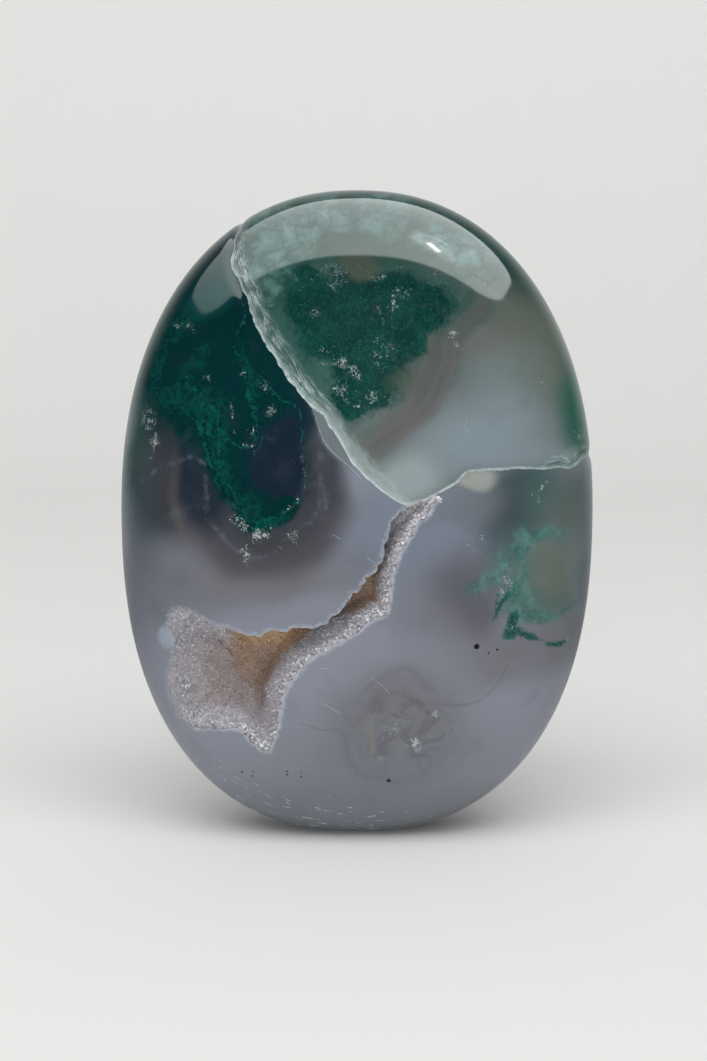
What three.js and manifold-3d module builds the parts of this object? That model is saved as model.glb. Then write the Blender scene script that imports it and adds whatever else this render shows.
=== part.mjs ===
// A polished moss agate: an oval palm stone that stands on a small flat ground into its lower end.
// Its face opens on a natural hollow, a wide pocket with a narrow neck, lined with a crust of quartz
// crystals, and a healed fracture runs round it as a shallow rough groove.
// Millimetres, +Z up, the polished face with the hollow looks along -Y.
// The origin is the middle of the flat that the stone stands on.

import * as THREE from "three";
import { mergeVertices } from "three/addons/utils/BufferGeometryUtils.js";
import Module from "manifold-3d";

// Driving dimensions of the polished stone
const HEIGHT = 70;
const WIDTH = 51.4;
const THICKNESS = 28;
const FOOT_CUT = 0.6; // how much the ground flat takes off the lower end
const OUTLINE_POWER_TOP = 2.21; // 2 is an ellipse, higher is squarer
const OUTLINE_POWER_LOW = 2.36;
const SECTION_POWER = 2.3; // the same for the section through the thickness
const THICKNESS_TAPER = 0.05; // the stone is this much thinner at the top, and thicker at the foot

const HALF_WIDTH = WIDTH / 2;
const HALF_HEIGHT = (HEIGHT + FOOT_CUT) / 2;
const HALF_THICKNESS = THICKNESS / 2;
const MIDDLE_Z = HALF_HEIGHT - FOOT_CUT;
const STONE_CELLS = { across: 18, through: 12, up: 24 };

// The mouth of the hollow, seen from the front: [x, z]
const HOLLOW_MOUTH = [
  [-19.9, 25.4], [-18.1, 26.4], [-15.2, 25.1], [-12.7, 24.4], [-10.4, 24.1], [-7.3, 24.8],
  [-3.6, 25.5], [-1.7, 27.1], [0.7, 30.0], [2.2, 31.6], [3.1, 34.8], [5.1, 37.8], [8.0, 38.7],
  [6.5, 36.6], [4.8, 33.8], [3.7, 30.5], [3.2, 26.9], [-0.5, 24.4], [-5.0, 21.6], [-7.5, 18.4],
  [-8.3, 14.9], [-9.6, 11.0], [-12.2, 13.1], [-17.4, 13.0], [-20.2, 16.6], [-19.7, 21.0],
];
// The side of the mouth whose crystals slope down from the polished face like a bank
const BANK_LINE = [
  [8.0, 38.7], [6.5, 36.6], [4.8, 33.8], [3.7, 30.5], [3.2, 26.9], [-0.5, 24.4], [-5.0, 21.6],
  [-7.5, 18.4], [-8.3, 14.9], [-9.6, 11.0], [-12.2, 13.1], [-17.4, 13.0],
];
const BANK_SLOPE = 2.4; // drop of the bank for each millimetre away from its line
const BANK_START = 0.5; // the bank starts this far under the polished face
const MOUTH_POINTS = 72;
const SHRINK_DIRECTIONS = 8;

// The floor of the crystals is the front-most of these slopes, as y for a place x, z
const DEEPEST_FLOOR_Y = -5.8;
const LEFT_SLOPE = { from: -10.5, rise: 0.34 };
const LOWER_SLOPE = { from: 17.0, rise: 0.45 };
const UPPER_LEFT_SLOPE = { from: -14.0, rise: 0.9 };
const NECK_SLOPE = { from: -6.5, rise: 0.5 };
const CRUST_THICKNESS = 0.9;
const CRUST_GAP = 0.3; // clearance between the crust and the stone around it
const FLOOR_CELL = 1.5;

// The quartz crystals on the crust
const CRYSTAL_PITCH = 1.38;
const CRYSTAL_RADIUS = [0.6, 0.9];
const CRYSTAL_HEIGHT = [0.6, 1.05];
const CRYSTAL_SIDES = 6;
const CRYSTAL_ROOT = 0.35; // how deep a crystal is set into the crust
const CRYSTAL_LEAN = 0.5;
const CRYSTAL_BELOW_FACE = 0.25;

// The healed fracture, as rough directions from the stone's middle: [x, y, z]
const FRACTURE_UPPER = [
  [-3.5, 12, 22], [-8.0, 10.5, 29], [-12.0, 4.5, 33], [-12.6, -1, 32], [-12.2, -5, 30.2], [-11.4, -7.6, 27],
  [-9.6, -9.4, 23.6], [-7.6, -11, 19.6], [-5.3, -12.2, 15.4], [-2.4, -13.2, 10.8], [0.8, -13.8, 7.0], [4.6, -13.9, 4.0],
];
const FRACTURE_LOWER = [
  [7.4, -13.7, 4.1], [9.6, -13.2, 5.4], [11.7, -12.6, 6.9], [15.0, -11.8, 7.2], [19.6, -9.6, 7.0],
  [22.8, -7.0, 6.6], [24.9, -3.4, 7.0], [25.4, 1, 7.2], [24.4, 5.5, 8.6], [20.6, 8.9, 12.0],
];
const FRACTURE_TOOL_RADIUS = 0.95;
const FRACTURE_DEPTH = { upper: 0.4, lower: 0.22 };
const FRACTURE_STEP = 1.8;

const FRONT_LIMIT = -HALF_THICKNESS - 4; // a plane well clear of the front of the stone
const MERGE_DISTANCE = 1e-3; // corners nearer than this to each other are one corner
const STONE_COLOUR = 0x74777f;
const CRUST_COLOUR = 0x8f8378;

const wasm = await Module();
wasm.setup();

// A repeatable number from 0 to 1 for each whole number n.
function chance(n) {
  const wave = Math.sin(n * 127.1 + 311.7) * 43758.5453;
  return wave - Math.floor(wave);
}

const between = ([low, high], share) => low + (high - low) * share;

function solidFrom(geometry) {
  const bare = geometry.clone();
  bare.deleteAttribute("normal");
  bare.deleteAttribute("uv");
  const merged = mergeVertices(bare, MERGE_DISTANCE);
  return new wasm.Manifold(
    new wasm.Mesh({
      numProp: 3,
      vertProperties: new Float32Array(merged.attributes.position.array),
      triVerts: new Uint32Array(merged.index.array),
    }),
  );
}

function geometryFrom(solid) {
  const mesh = solid.getMesh();
  const geometry = new THREE.BufferGeometry();
  geometry.setAttribute("position", new THREE.BufferAttribute(new Float32Array(mesh.vertProperties), 3));
  geometry.setIndex(new THREE.BufferAttribute(new Uint32Array(mesh.triVerts), 1));
  geometry.computeVertexNormals();
  return geometry;
}

// Moves every vertex of a geometry to the point that the function gives for it.
function reshape(geometry, place) {
  const positions = geometry.attributes.position;
  const point = new THREE.Vector3();
  for (let i = 0; i < positions.count; i += 1) {
    point.fromBufferAttribute(positions, i);
    positions.setXYZ(i, ...place(point));
  }
  return geometry;
}

// How far out a place x, z lies: 0 at the middle of the face, 1 at the outline.
function outlineShare(x, zFromMiddle) {
  const power = zFromMiddle > 0 ? OUTLINE_POWER_TOP : OUTLINE_POWER_LOW;
  const across = Math.abs(x / HALF_WIDTH) ** power;
  const up = Math.abs(zFromMiddle / HALF_HEIGHT) ** power;
  return (across + up) ** (1 / power);
}

const taperAt = (zFromMiddle) => 1 - (THICKNESS_TAPER * zFromMiddle) / HALF_HEIGHT;

// Where a ray from the stone's middle meets the polished surface.
function onSurface(x, y, z) {
  const outline = outlineShare(x, z) ** SECTION_POWER;
  const through = Math.abs(y / HALF_THICKNESS) ** SECTION_POWER;
  const reach = (outline + through) ** (-1 / SECTION_POWER);
  return [x * reach, y * reach * taperAt(z * reach), z * reach + MIDDLE_Z];
}

// The y of the polished front face at a place x, z.
function frontFace(x, z) {
  const share = Math.min(1, outlineShare(x, z - MIDDLE_Z));
  return -HALF_THICKNESS * (1 - share ** SECTION_POWER) ** (1 / SECTION_POWER) * taperAt(z - MIDDLE_Z);
}

// A box's grid blown up onto the surface; the tangent evens out its cells.
function polishedBody() {
  const box = new THREE.BoxGeometry(2, 2, 2, STONE_CELLS.across, STONE_CELLS.through, STONE_CELLS.up);
  const even = (t) => Math.tan((t * Math.PI) / 4);
  const body = reshape(box, (p) =>
    onSurface(even(p.x) * HALF_WIDTH, even(p.y) * HALF_THICKNESS, even(p.z) * HALF_HEIGHT),
  );
  return solidFrom(body);
}

// The block whose removal leaves the flat foot at z = 0.
function footBlock() {
  const depth = 2 * FOOT_CUT;
  const block = new THREE.BoxGeometry(2 * WIDTH, 2 * WIDTH, depth);
  block.translate(0, 0, -depth / 2);
  return solidFrom(block);
}

function mouthCurve() {
  const corners = HOLLOW_MOUTH.map(([x, z]) => new THREE.Vector3(x, 0, z));
  return new THREE.CatmullRomCurve3(corners, true, "centripetal");
}

// The mouth's outline as evenly spaced points in the plane of x and z.
function mouthOutline() {
  const curve = mouthCurve();
  const outline = [];
  for (let i = 0; i < MOUTH_POINTS; i += 1) {
    const point = curve.getPointAt(i / MOUTH_POINTS);
    outline.push(new THREE.Vector2(point.x, point.z));
  }
  return outline;
}

// A straight-walled prism with the mouth's outline, from in front of the stone to its middle plane.
function mouthPrism() {
  const prism = new THREE.ExtrudeGeometry(new THREE.Shape(mouthOutline()), {
    depth: -FRONT_LIMIT,
    steps: 1,
    bevelEnabled: false,
  });
  prism.rotateX(Math.PI / 2);
  return solidFrom(prism);
}

// The prism with its walls moved inwards: what copies of it shifted every way have in common.
function shrunkPrism(clearance) {
  const prism = mouthPrism();
  let shrunk = prism;
  for (let i = 0; i < SHRINK_DIRECTIONS; i += 1) {
    const angle = (2 * Math.PI * i) / SHRINK_DIRECTIONS;
    shrunk = shrunk.intersect(prism.translate(clearance * Math.cos(angle), 0, clearance * Math.sin(angle)));
  }
  return shrunk;
}

function distanceToLine(x, z, line) {
  const place = new THREE.Vector3(x, 0, z);
  const nearest = new THREE.Vector3();
  let least = Infinity;
  for (let i = 1; i < line.length; i += 1) {
    const from = new THREE.Vector3(line[i - 1][0], 0, line[i - 1][1]);
    const to = new THREE.Vector3(line[i][0], 0, line[i][1]);
    new THREE.Line3(from, to).closestPointToPoint(place, true, nearest);
    least = Math.min(least, nearest.distanceTo(place));
  }
  return least;
}

// The y of the crystals' floor at a place x, z: the front-most of the slopes and the bank.
function crystalFloor(x, z) {
  const rises = [
    DEEPEST_FLOOR_Y,
    DEEPEST_FLOOR_Y - LEFT_SLOPE.rise * (LEFT_SLOPE.from - x),
    DEEPEST_FLOOR_Y - LOWER_SLOPE.rise * (LOWER_SLOPE.from - z),
    DEEPEST_FLOOR_Y - UPPER_LEFT_SLOPE.rise * (UPPER_LEFT_SLOPE.from - x + (z - 24)),
    DEEPEST_FLOOR_Y - NECK_SLOPE.rise * (x - NECK_SLOPE.from),
    frontFace(x, z) + BANK_START + BANK_SLOPE * distanceToLine(x, z, BANK_LINE),
  ];
  return Math.min(...rises);
}

// A block over the whole mouth, between two surfaces given as y for x, z.
function blockBetween(front, back) {
  const xs = HOLLOW_MOUTH.map(([x]) => x);
  const zs = HOLLOW_MOUTH.map(([, z]) => z);
  const margin = 2;
  const low = { x: Math.min(...xs) - margin, z: Math.min(...zs) - margin };
  const size = { x: Math.max(...xs) + margin - low.x, z: Math.max(...zs) + margin - low.z };
  const cells = { x: Math.round(size.x / FLOOR_CELL), z: Math.round(size.z / FLOOR_CELL) };
  const block = new THREE.BoxGeometry(size.x, 2, size.z, cells.x, 1, cells.z);
  block.translate(low.x + size.x / 2, 0, low.z + size.z / 2);
  reshape(block, (p) => [p.x, p.y < 0 ? front(p.x, p.z) : back(p.x, p.z), p.z]);
  return solidFrom(block);
}

// The room in front of a surface that lies the given distance behind the crystals' floor.
function roomTo(behindFloor) {
  return blockBetween(
    () => FRONT_LIMIT,
    (x, z) => crystalFloor(x, z) + behindFloor,
  );
}

const hollow = () => mouthPrism().intersect(roomTo(CRUST_THICKNESS + CRUST_GAP));

// The direction that the crust faces at a place x, z, from the slope of its floor.
function floorNormal(x, z) {
  const step = 0.4;
  const acrossSlope = (crystalFloor(x + step, z) - crystalFloor(x - step, z)) / (2 * step);
  const upSlope = (crystalFloor(x, z + step) - crystalFloor(x, z - step)) / (2 * step);
  return new THREE.Vector3(acrossSlope, -1, upSlope).normalize();
}

// A pointed quartz crystal: a six-sided pyramid whose root is set into the crust.
function crystal(x, z, n) {
  const radius = between(CRYSTAL_RADIUS, chance(n));
  const height = between(CRYSTAL_HEIGHT, chance(n + 0.37)) + CRYSTAL_ROOT;
  const lean = new THREE.Vector3(chance(n + 0.11) - 0.5, 0, chance(n + 0.59) - 0.5);
  const facing = floorNormal(x, z).addScaledVector(lean, CRYSTAL_LEAN).normalize();
  const point = new THREE.ConeGeometry(radius, height, CRYSTAL_SIDES);
  point.rotateY(chance(n + 0.83) * Math.PI);
  point.translate(0, height / 2 - CRYSTAL_ROOT, 0);
  point.applyQuaternion(new THREE.Quaternion().setFromUnitVectors(new THREE.Vector3(0, 1, 0), facing));
  point.translate(x, crystalFloor(x, z), z);
  return solidFrom(point);
}

// The crust: a sheet over the floor with crystals grown on it, kept inside the mouth and below the face.
function quartzCrust(body) {
  const sheet = blockBetween(crystalFloor, (x, z) => crystalFloor(x, z) + CRUST_THICKNESS);
  const grown = [sheet];
  const mouth = mouthOutline();
  let n = 1;
  for (let z = 10; z < 40; z += CRYSTAL_PITCH * 0.87) {
    for (let x = -22; x < 10; x += CRYSTAL_PITCH) {
      n += 1;
      const place = {
        x: x + (chance(n + 0.2) - 0.5) * CRYSTAL_PITCH * 0.8,
        z: z + (chance(n + 0.7) - 0.5) * CRYSTAL_PITCH * 0.8,
      };
      if (insideOutline(place, mouth)) grown.push(crystal(place.x, place.z, n));
    }
  }
  const room = shrunkPrism(CRUST_GAP).intersect(roomTo(CRUST_THICKNESS));
  const belowFace = body.translate(0, CRYSTAL_BELOW_FACE, 0);
  return largestBody(wasm.Manifold.union(grown).intersect(room).intersect(belowFace));
}

// Trimming can leave crumbs that are loose or hang on by one corner; this keeps the crust itself.
function largestBody(solid) {
  const bodies = solidFrom(geometryFrom(solid)).decompose();
  return bodies.reduce((most, body) => (body.volume() > most.volume() ? body : most));
}

function insideOutline({ x, z }, outline) {
  let inside = false;
  for (let i = 0, j = outline.length - 1; i < outline.length; j = i, i += 1) {
    const a = outline[i];
    const b = outline[j];
    const crosses = a.y > z !== b.y > z && x < ((b.x - a.x) * (z - a.y)) / (b.y - a.y) + a.x;
    if (crosses) inside = !inside;
  }
  return inside;
}

// The tool for one stretch of the fracture: a six-sided bar that follows the surface, partly sunk in it.
function fractureTool(route, depth) {
  const lift = FRACTURE_TOOL_RADIUS - depth;
  const points = route.map(([x, y, z]) => {
    const at = new THREE.Vector3(...onSurface(x, y, z));
    const out = at.clone().sub(new THREE.Vector3(0, 0, MIDDLE_Z));
    out.set(out.x / HALF_WIDTH ** 2, out.y / HALF_THICKNESS ** 2, out.z / HALF_HEIGHT ** 2).normalize();
    return at.addScaledVector(out, lift);
  });
  const path = new THREE.CatmullRomCurve3(points, false, "centripetal");
  const section = new THREE.Shape();
  for (let i = 0; i < 6; i += 1) {
    const angle = (i * Math.PI) / 3;
    const [u, v] = [FRACTURE_TOOL_RADIUS * Math.cos(angle), FRACTURE_TOOL_RADIUS * Math.sin(angle)];
    if (i === 0) section.moveTo(u, v);
    else section.lineTo(u, v);
  }
  section.closePath();
  const steps = Math.round(path.getLength() / FRACTURE_STEP);
  return solidFrom(new THREE.ExtrudeGeometry(section, { extrudePath: path, steps, bevelEnabled: false }));
}

function namedMesh(name, solid, colour, roughness) {
  const material = new THREE.MeshStandardMaterial({ color: colour, roughness, metalness: 0 });
  const mesh = new THREE.Mesh(geometryFrom(solid), material);
  mesh.name = name;
  return mesh;
}

const body = polishedBody();
const agate = body
  .subtract(footBlock())
  .subtract(hollow())
  .subtract(fractureTool(FRACTURE_UPPER, FRACTURE_DEPTH.upper))
  .subtract(fractureTool(FRACTURE_LOWER, FRACTURE_DEPTH.lower));

const mossAgate = new THREE.Group();
mossAgate.name = "moss_agate";
mossAgate.add(namedMesh("agate_stone", agate, STONE_COLOUR, 0.12));
mossAgate.add(namedMesh("quartz_crust", quartzCrust(body), CRUST_COLOUR, 0.45));

export default mossAgate;
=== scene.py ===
# %% [markdown]
# # A moss agate in Blender
# A moss agate is milky chalcedony with green mineral growths inside it. This one is an oval palm stone.
# It was tumbled to a high polish, and its face opens on a hollow that is lined with tiny quartz crystals.
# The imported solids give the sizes. This script lays a finer stone and a finer crust over them, in the
# same frame, and gives them their colours, their gloss and the light of a plain studio.

import bpy
import numpy as np
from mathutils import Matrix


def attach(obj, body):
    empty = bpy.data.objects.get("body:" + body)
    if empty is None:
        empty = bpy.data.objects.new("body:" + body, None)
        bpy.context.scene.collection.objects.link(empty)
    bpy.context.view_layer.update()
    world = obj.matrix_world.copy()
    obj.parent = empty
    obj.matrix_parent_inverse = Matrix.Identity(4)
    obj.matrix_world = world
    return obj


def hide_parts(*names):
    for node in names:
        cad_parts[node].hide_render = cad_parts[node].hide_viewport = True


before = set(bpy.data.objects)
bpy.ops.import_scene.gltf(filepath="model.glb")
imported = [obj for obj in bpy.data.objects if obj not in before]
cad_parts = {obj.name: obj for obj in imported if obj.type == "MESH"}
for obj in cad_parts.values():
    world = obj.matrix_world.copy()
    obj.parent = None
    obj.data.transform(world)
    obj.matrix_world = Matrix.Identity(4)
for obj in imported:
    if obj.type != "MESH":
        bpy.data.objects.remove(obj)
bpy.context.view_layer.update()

# %% [markdown]
# ## The polished form
# A tumbled palm stone is a squared ellipse seen from the front and another one seen from the side.
# A superellipse has just that form, and its power says how square it is. The numbers are millimetres,
# the ones that shaped the solids. Only the thickness is a hair less, so the fine stone stays inside.

# %% Form of the stone
MM = 0.001
HALF_WIDTH = 25.7
HALF_HEIGHT = 35.3
HALF_THICKNESS = 13.99
MIDDLE_Z = 34.7
OUTLINE_POWER_TOP = 2.21
OUTLINE_POWER_LOW = 2.36
SECTION_POWER = 2.3
THICKNESS_TAPER = 0.05
HALF_SIZES = np.array([HALF_WIDTH, HALF_THICKNESS, HALF_HEIGHT])
STONE_MIDDLE = np.array([0, 0, MIDDLE_Z])


def outline_share(x, z_mid):
    """How far out x, z lies, from 0 in the middle to 1 at the outline: the root of |x|^p + |z|^p."""
    power = np.where(z_mid > 0, OUTLINE_POWER_TOP, OUTLINE_POWER_LOW)
    return (np.abs(x / HALF_WIDTH) ** power + np.abs(z_mid / HALF_HEIGHT) ** power) ** (1 / power)


def on_surface(direction):
    """Where rays from the stone's middle leave it: each direction is divided by its share of the way out."""
    x, y, z = np.asarray(direction, float).T
    outline = outline_share(x, z) ** SECTION_POWER
    through = np.abs(y / HALF_THICKNESS) ** SECTION_POWER
    reach = (outline + through) ** (-1 / SECTION_POWER)
    taper = 1 - THICKNESS_TAPER * z * reach / HALF_HEIGHT
    return np.stack([x * reach, y * reach * taper, z * reach + MIDDLE_Z], axis=1)


def front_face(x, z):
    """The y of the polished front at x, z: the superellipse through the thickness, solved for y."""
    z_mid = np.asarray(z, float) - MIDDLE_Z
    share = np.minimum(1, outline_share(np.asarray(x, float), z_mid))
    depth = (1 - share**SECTION_POWER) ** (1 / SECTION_POWER)
    return -HALF_THICKNESS * depth * (1 - THICKNESS_TAPER * z_mid / HALF_HEIGHT)


print("front of the stone at its middle:", front_face(0, MIDDLE_Z), "mm")

# %% [markdown]
# ## Meshes from arrays
# A mesh is a list of corners and a list of faces. Numpy works out all corners at once, and foreach_set
# hands the finished arrays to Blender, which is far quicker than adding corners one by one.

# %% From arrays to a mesh
def mesh_piece(name, corners, *face_sets):
    """A mesh object from corners in millimetres and arrays of faces, one array for each number of sides."""
    mesh = bpy.data.meshes.new(name)
    mesh.vertices.add(len(corners))
    mesh.vertices.foreach_set("co", (corners * MM).astype(np.float32).ravel())
    loops = np.concatenate([faces.ravel() for faces in face_sets])
    sides = np.concatenate([np.full(len(faces), faces.shape[1]) for faces in face_sets])
    mesh.loops.add(len(loops))
    mesh.loops.foreach_set("vertex_index", loops.astype(np.int32))
    mesh.polygons.add(len(sides))
    mesh.polygons.foreach_set("loop_start", (np.cumsum(sides) - sides).astype(np.int32))
    mesh.update(calc_edges=True)
    mesh.validate()
    piece = bpy.data.objects.new(name, mesh)
    bpy.context.scene.collection.objects.link(piece)
    return piece


def corners_of(piece):
    """The corners of a mesh object as an array of millimetres."""
    flat = np.empty(3 * len(piece.data.vertices), np.float32)
    piece.data.vertices.foreach_get("co", flat)
    return flat.reshape(-1, 3).astype(float) / MM


def write_field(piece, name, values):
    """Stores one number, or one colour, for every corner of a mesh, where a material can read it."""
    kind, key = ("FLOAT", "value") if values.ndim == 1 else ("FLOAT_COLOR", "color")
    if values.ndim == 2:
        values = np.column_stack([values, np.ones(len(values))])
    stored = piece.data.attributes.new(name, kind, "POINT")
    stored.data.foreach_set(key, values.astype(np.float32).ravel())


def write_fields(piece, **fields):
    """Stores several sets of values, each under its own name."""
    for name, values in fields.items():
        write_field(piece, name, values)


# %% Curves and soft steps
def smooth_line(points, per_span, closed=False):
    """A curve through all its points: each span is a cubic, steered by the points beside its two ends."""
    points = np.asarray(points, float)
    before, after = (points[-1:], points[:2]) if closed else (points[:1], points[-1:])
    p = np.concatenate([before, points, after])
    t = np.linspace(0, 1, per_span, endpoint=False)[None, :, None]
    a, b, c, d = (p[i : len(p) - 3 + i][:, None] for i in range(4))
    bend = (2 * a - 5 * b + 4 * c - d) * t**2 + (3 * b - a - 3 * c + d) * t**3
    curve = (b + 0.5 * ((c - a) * t + bend)).reshape(-1, points.shape[1])
    return np.concatenate([curve, curve[:1] if closed else points[-1:]])


def nearest_on(line, points):
    """Distance to the nearest place on a line, and there the length along it, the way across and ahead.

    On each stretch the nearest place is the point's shadow, held between the two ends of the stretch.
    """
    distance = np.full(len(points), np.inf)
    along = np.zeros(len(points))
    across = np.zeros_like(points)
    ahead = np.zeros_like(points)
    passed = 0.0
    for start, end in zip(line[:-1], line[1:]):
        step = end - start
        length = np.linalg.norm(step)
        share = np.clip((points - start) @ step / length**2, 0, 1)
        way = points - start - share[:, None] * step
        here = np.linalg.norm(way, axis=1)
        nearer = here < distance
        distance[nearer] = here[nearer]
        along[nearer] = passed + share[nearer] * length
        across[nearer] = way[nearer]
        ahead[nearer] = step / length
        passed += length
    return distance, along, across, ahead


def soft_step(low, high, value):
    """0 below low, 1 above high, and an S-shaped rise between: 3t^2 - 2t^3."""
    t = np.clip((value - low) / (high - low), 0, 1)
    return t * t * (3 - 2 * t)


def inside_of(outline, x, z):
    """True where x, z lies inside a closed outline: a ray to the right crosses it an odd number of times."""
    inside = np.zeros(x.shape, bool)
    for (x0, z0), (x1, z1) in zip(outline[:-1], outline[1:]):
        if z0 != z1:
            inside ^= ((z0 > z) != (z1 > z)) & (x < (x1 - x0) * (z - z0) / (z1 - z0) + x0)
    return inside


# %% [markdown]
# ## The hollow
# The hollow is a pocket that the chalcedony never filled. Its mouth is where the polish cut it open: a
# wide pool on the left with a long neck that climbs to the right. One closed curve draws the mouth.
# Its edge is brittle, so a little roughness is added to the curve before it is used as a cutter.

# %% Mouth of the hollow
MOUTH = [
    (-19.9, 25.6), (-18.1, 26.5), (-15.2, 25.1), (-12.7, 24.5), (-10.5, 24.0), (-9.2, 24.6), (-7.3, 24.8),
    (-4.8, 25.2), (-3.2, 25.7), (-1.7, 27.1), (-0.4, 28.6), (0.6, 29.6), (0.9, 30.5), (2.1, 31.3),
    (2.7, 32.8), (3.2, 34.9), (3.9, 36.6), (5.1, 37.8), (6.5, 38.3), (8.0, 38.7), (7.5, 37.3), (6.5, 36.6),
    (5.8, 35.2), (4.8, 33.8), (3.9, 31.7), (3.4, 29.6), (3.4, 28.2), (3.1, 26.8), (1.7, 26.1), (-0.5, 24.4),
    (-2.3, 23.3), (-4.0, 22.2), (-5.5, 21.3), (-6.5, 20.0), (-7.5, 18.4), (-8.1, 16.4), (-8.2, 14.9),
    (-8.8, 12.6), (-9.6, 11.0), (-11.0, 11.9), (-12.1, 13.2), (-13.4, 13.5), (-15.4, 13.3), (-17.4, 12.9),
    (-18.6, 13.4), (-19.5, 14.7), (-20.2, 16.6), (-20.3, 18.2), (-19.9, 20.2), (-19.4, 21.7), (-19.9, 23.6),
]
EDGE_ROUGHNESS = 0.13
SEED = 7


def rough_outline(points, roughness, per_span=10):
    """The closed curve through the points, each corner moved at random, and the moves smoothed out."""
    curve = smooth_line(points, closed=True, per_span=per_span)[:-1]
    jitter = np.random.default_rng(SEED).normal(size=curve.shape)
    for _ in range(2):
        jitter = (jitter + np.roll(jitter, 1, axis=0) + np.roll(jitter, -1, axis=0)) / 3
    curve = curve + jitter * roughness * 2
    return np.concatenate([curve, curve[:1]])


mouth_edge = rough_outline(MOUTH, EDGE_ROUGHNESS)
print("mouth of the hollow:", len(mouth_edge) - 1, "corners")

# %% [markdown]
# ## The floor of the crystals
# Inside, the crystals cover slopes that come up to the face: a shallow beach on the left, a steep bank
# on the right and in the neck, and the deepest place between them. The floor is the front-most of those
# slopes at each place, plus a fine lumpiness.

# %% Floor of the crystals
DEEPEST_FLOOR_Y = -5.8
LEFT_SLOPE = (-10.5, 0.34)
LOWER_SLOPE = (17.0, 0.45)
UPPER_LEFT_SLOPE = (-14.0, 0.9)
UPPER_LEFT_LEVEL = 24
NECK_SLOPE = (-6.5, 0.5)
BANK_RISE = (0.9, 0.9)
BEACH_START = 0.02
BANK_LINE = np.array(MOUTH[19:44], float)
LUMPS = [(0.2, 1.1), (0.16, 0.5), (0.08, 0.21)]


def lumps(x, z, size):
    """A smooth, random-looking field from -1 to 1: crossed sines whose waves never fall in step."""
    a = np.sin(x / size + 1.7 * np.sin(z / size * 0.83 + 0.4))
    b = np.sin(z / size * 1.13 + 1.9 * np.sin(x / size * 0.71 + 2.1))
    return 0.5 * (a + b)


def crystal_floor(x, z):
    """The y of the floor: the least of the slopes' planes and of the bank, whose drop is a*d + b*d^2."""
    bank_distance = nearest_on(BANK_LINE, np.column_stack([x, z]))[0]
    face = front_face(x, z)
    rises = [
        np.full_like(x, DEEPEST_FLOOR_Y),
        DEEPEST_FLOOR_Y - LEFT_SLOPE[1] * (LEFT_SLOPE[0] - x),
        DEEPEST_FLOOR_Y - LOWER_SLOPE[1] * (LOWER_SLOPE[0] - z),
        DEEPEST_FLOOR_Y - UPPER_LEFT_SLOPE[1] * (UPPER_LEFT_SLOPE[0] - x + (z - UPPER_LEFT_LEVEL)),
        DEEPEST_FLOOR_Y - NECK_SLOPE[1] * (x - NECK_SLOPE[0]),
        face + BEACH_START + BANK_RISE[0] * bank_distance + BANK_RISE[1] * bank_distance**2,
    ]
    floor = np.min(rises, axis=0)
    for height, size in LUMPS:
        floor = floor + height * lumps(x, z, size)
    return np.maximum(floor, face + BEACH_START)


print("floor in the middle of the pool:", crystal_floor(np.array([-12.0]), np.array([19.0])), "mm")

# %% [markdown]
# ## The fracture
# Long ago this agate broke, and the crack healed with whitish quartz. The line runs from the top of the
# stone down its face to the neck of the hollow, then right to the rim, and on across the back. Every
# corner of the stone needs its distance from that line, with a sign that says on which side it lies.

# %% Line of the fracture
FRACTURE_FRONT = [
    (-13.1, 65.1), (-13.3, 63.2), (-12.8, 61.5), (-11.9, 59.7), (-10.9, 57.1), (-10.1, 55.4), (-9.0, 53.9),
    (-7.3, 51.3), (-5.3, 49.1), (-3.5, 47.2), (-2.0, 44.9), (-0.6, 42.7), (1.3, 40.6), (3.0, 39.2),
    (4.4, 38.3), (5.6, 38.0), (7.0, 38.5), (8.3, 39.1), (9.5, 39.8), (10.5, 40.4), (11.5, 41.3),
    (12.8, 41.5), (14.9, 41.5), (17.0, 41.5), (19.8, 41.2), (21.4, 41.4), (22.8, 40.8), (23.8, 41.5),
]
FRACTURE_BACK = [
    (24.9, -3.4, 7.0), (25.4, 1, 7.2), (24.4, 5.5, 8.6), (20.6, 8.9, 12), (11, 12, 16), (3, 12.5, 19),
    (-3.5, 12, 22), (-8, 10.5, 29), (-12, 4.5, 33), (-12.6, -1, 32),
]


def fracture_line():
    """The closed line round the stone: front points lifted onto the face, back points as directions."""
    x, z = np.array(FRACTURE_FRONT).T
    front = np.column_stack([x, front_face(x, z), z])
    return smooth_line(np.concatenate([front, on_surface(FRACTURE_BACK)]), closed=True, per_span=6)


def side_of_fracture(corners):
    """Signed distance from the fracture, above 0 in the upper right lobe, and the length along it.

    The way out of the stone is taken at the nearest place of the line, so the far face gets its side right
    too. Near the line, what the way across goes in or out is left off, so it reads 0 in the groove as well.
    """
    distance, along, across, ahead = nearest_on(fracture_line(), corners)
    outward = (corners - across - STONE_MIDDLE) / HALF_SIZES**2
    outward /= np.linalg.norm(outward, axis=1)[:, None]
    level = np.linalg.norm(across - np.sum(across * outward, axis=1)[:, None] * outward, axis=1)
    turn = np.sum(np.cross(ahead, across) * outward, axis=1)
    return np.copysign(np.where(distance < 3, level, distance), turn), along


lobe_side = side_of_fracture(np.array([[8.0, -11.0, 55.0], [-15.0, -10.0, 45.0], [8.0, 12.0, 60.0]]))[0]
print("lobe, rest and back of the lobe lie at", lobe_side.round(1), "mm from the fracture")

# %% [markdown]
# ## The stone's own mesh
# A grid on a cube, blown up onto the stone, has cells of nearly one size and no poles. The tangent
# spreads the grid's lines evenly over the angle. The lower end is cut flat, because the stone stands
# on it, and the fracture sinks in a little, as the healed crack is softer than the stone.

# %% Grid of the stone
STONE_CELLS = (112, 62, 150)
GROOVE_DEPTH = 0.22
GROOVE_WIDTH = 0.55


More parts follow.
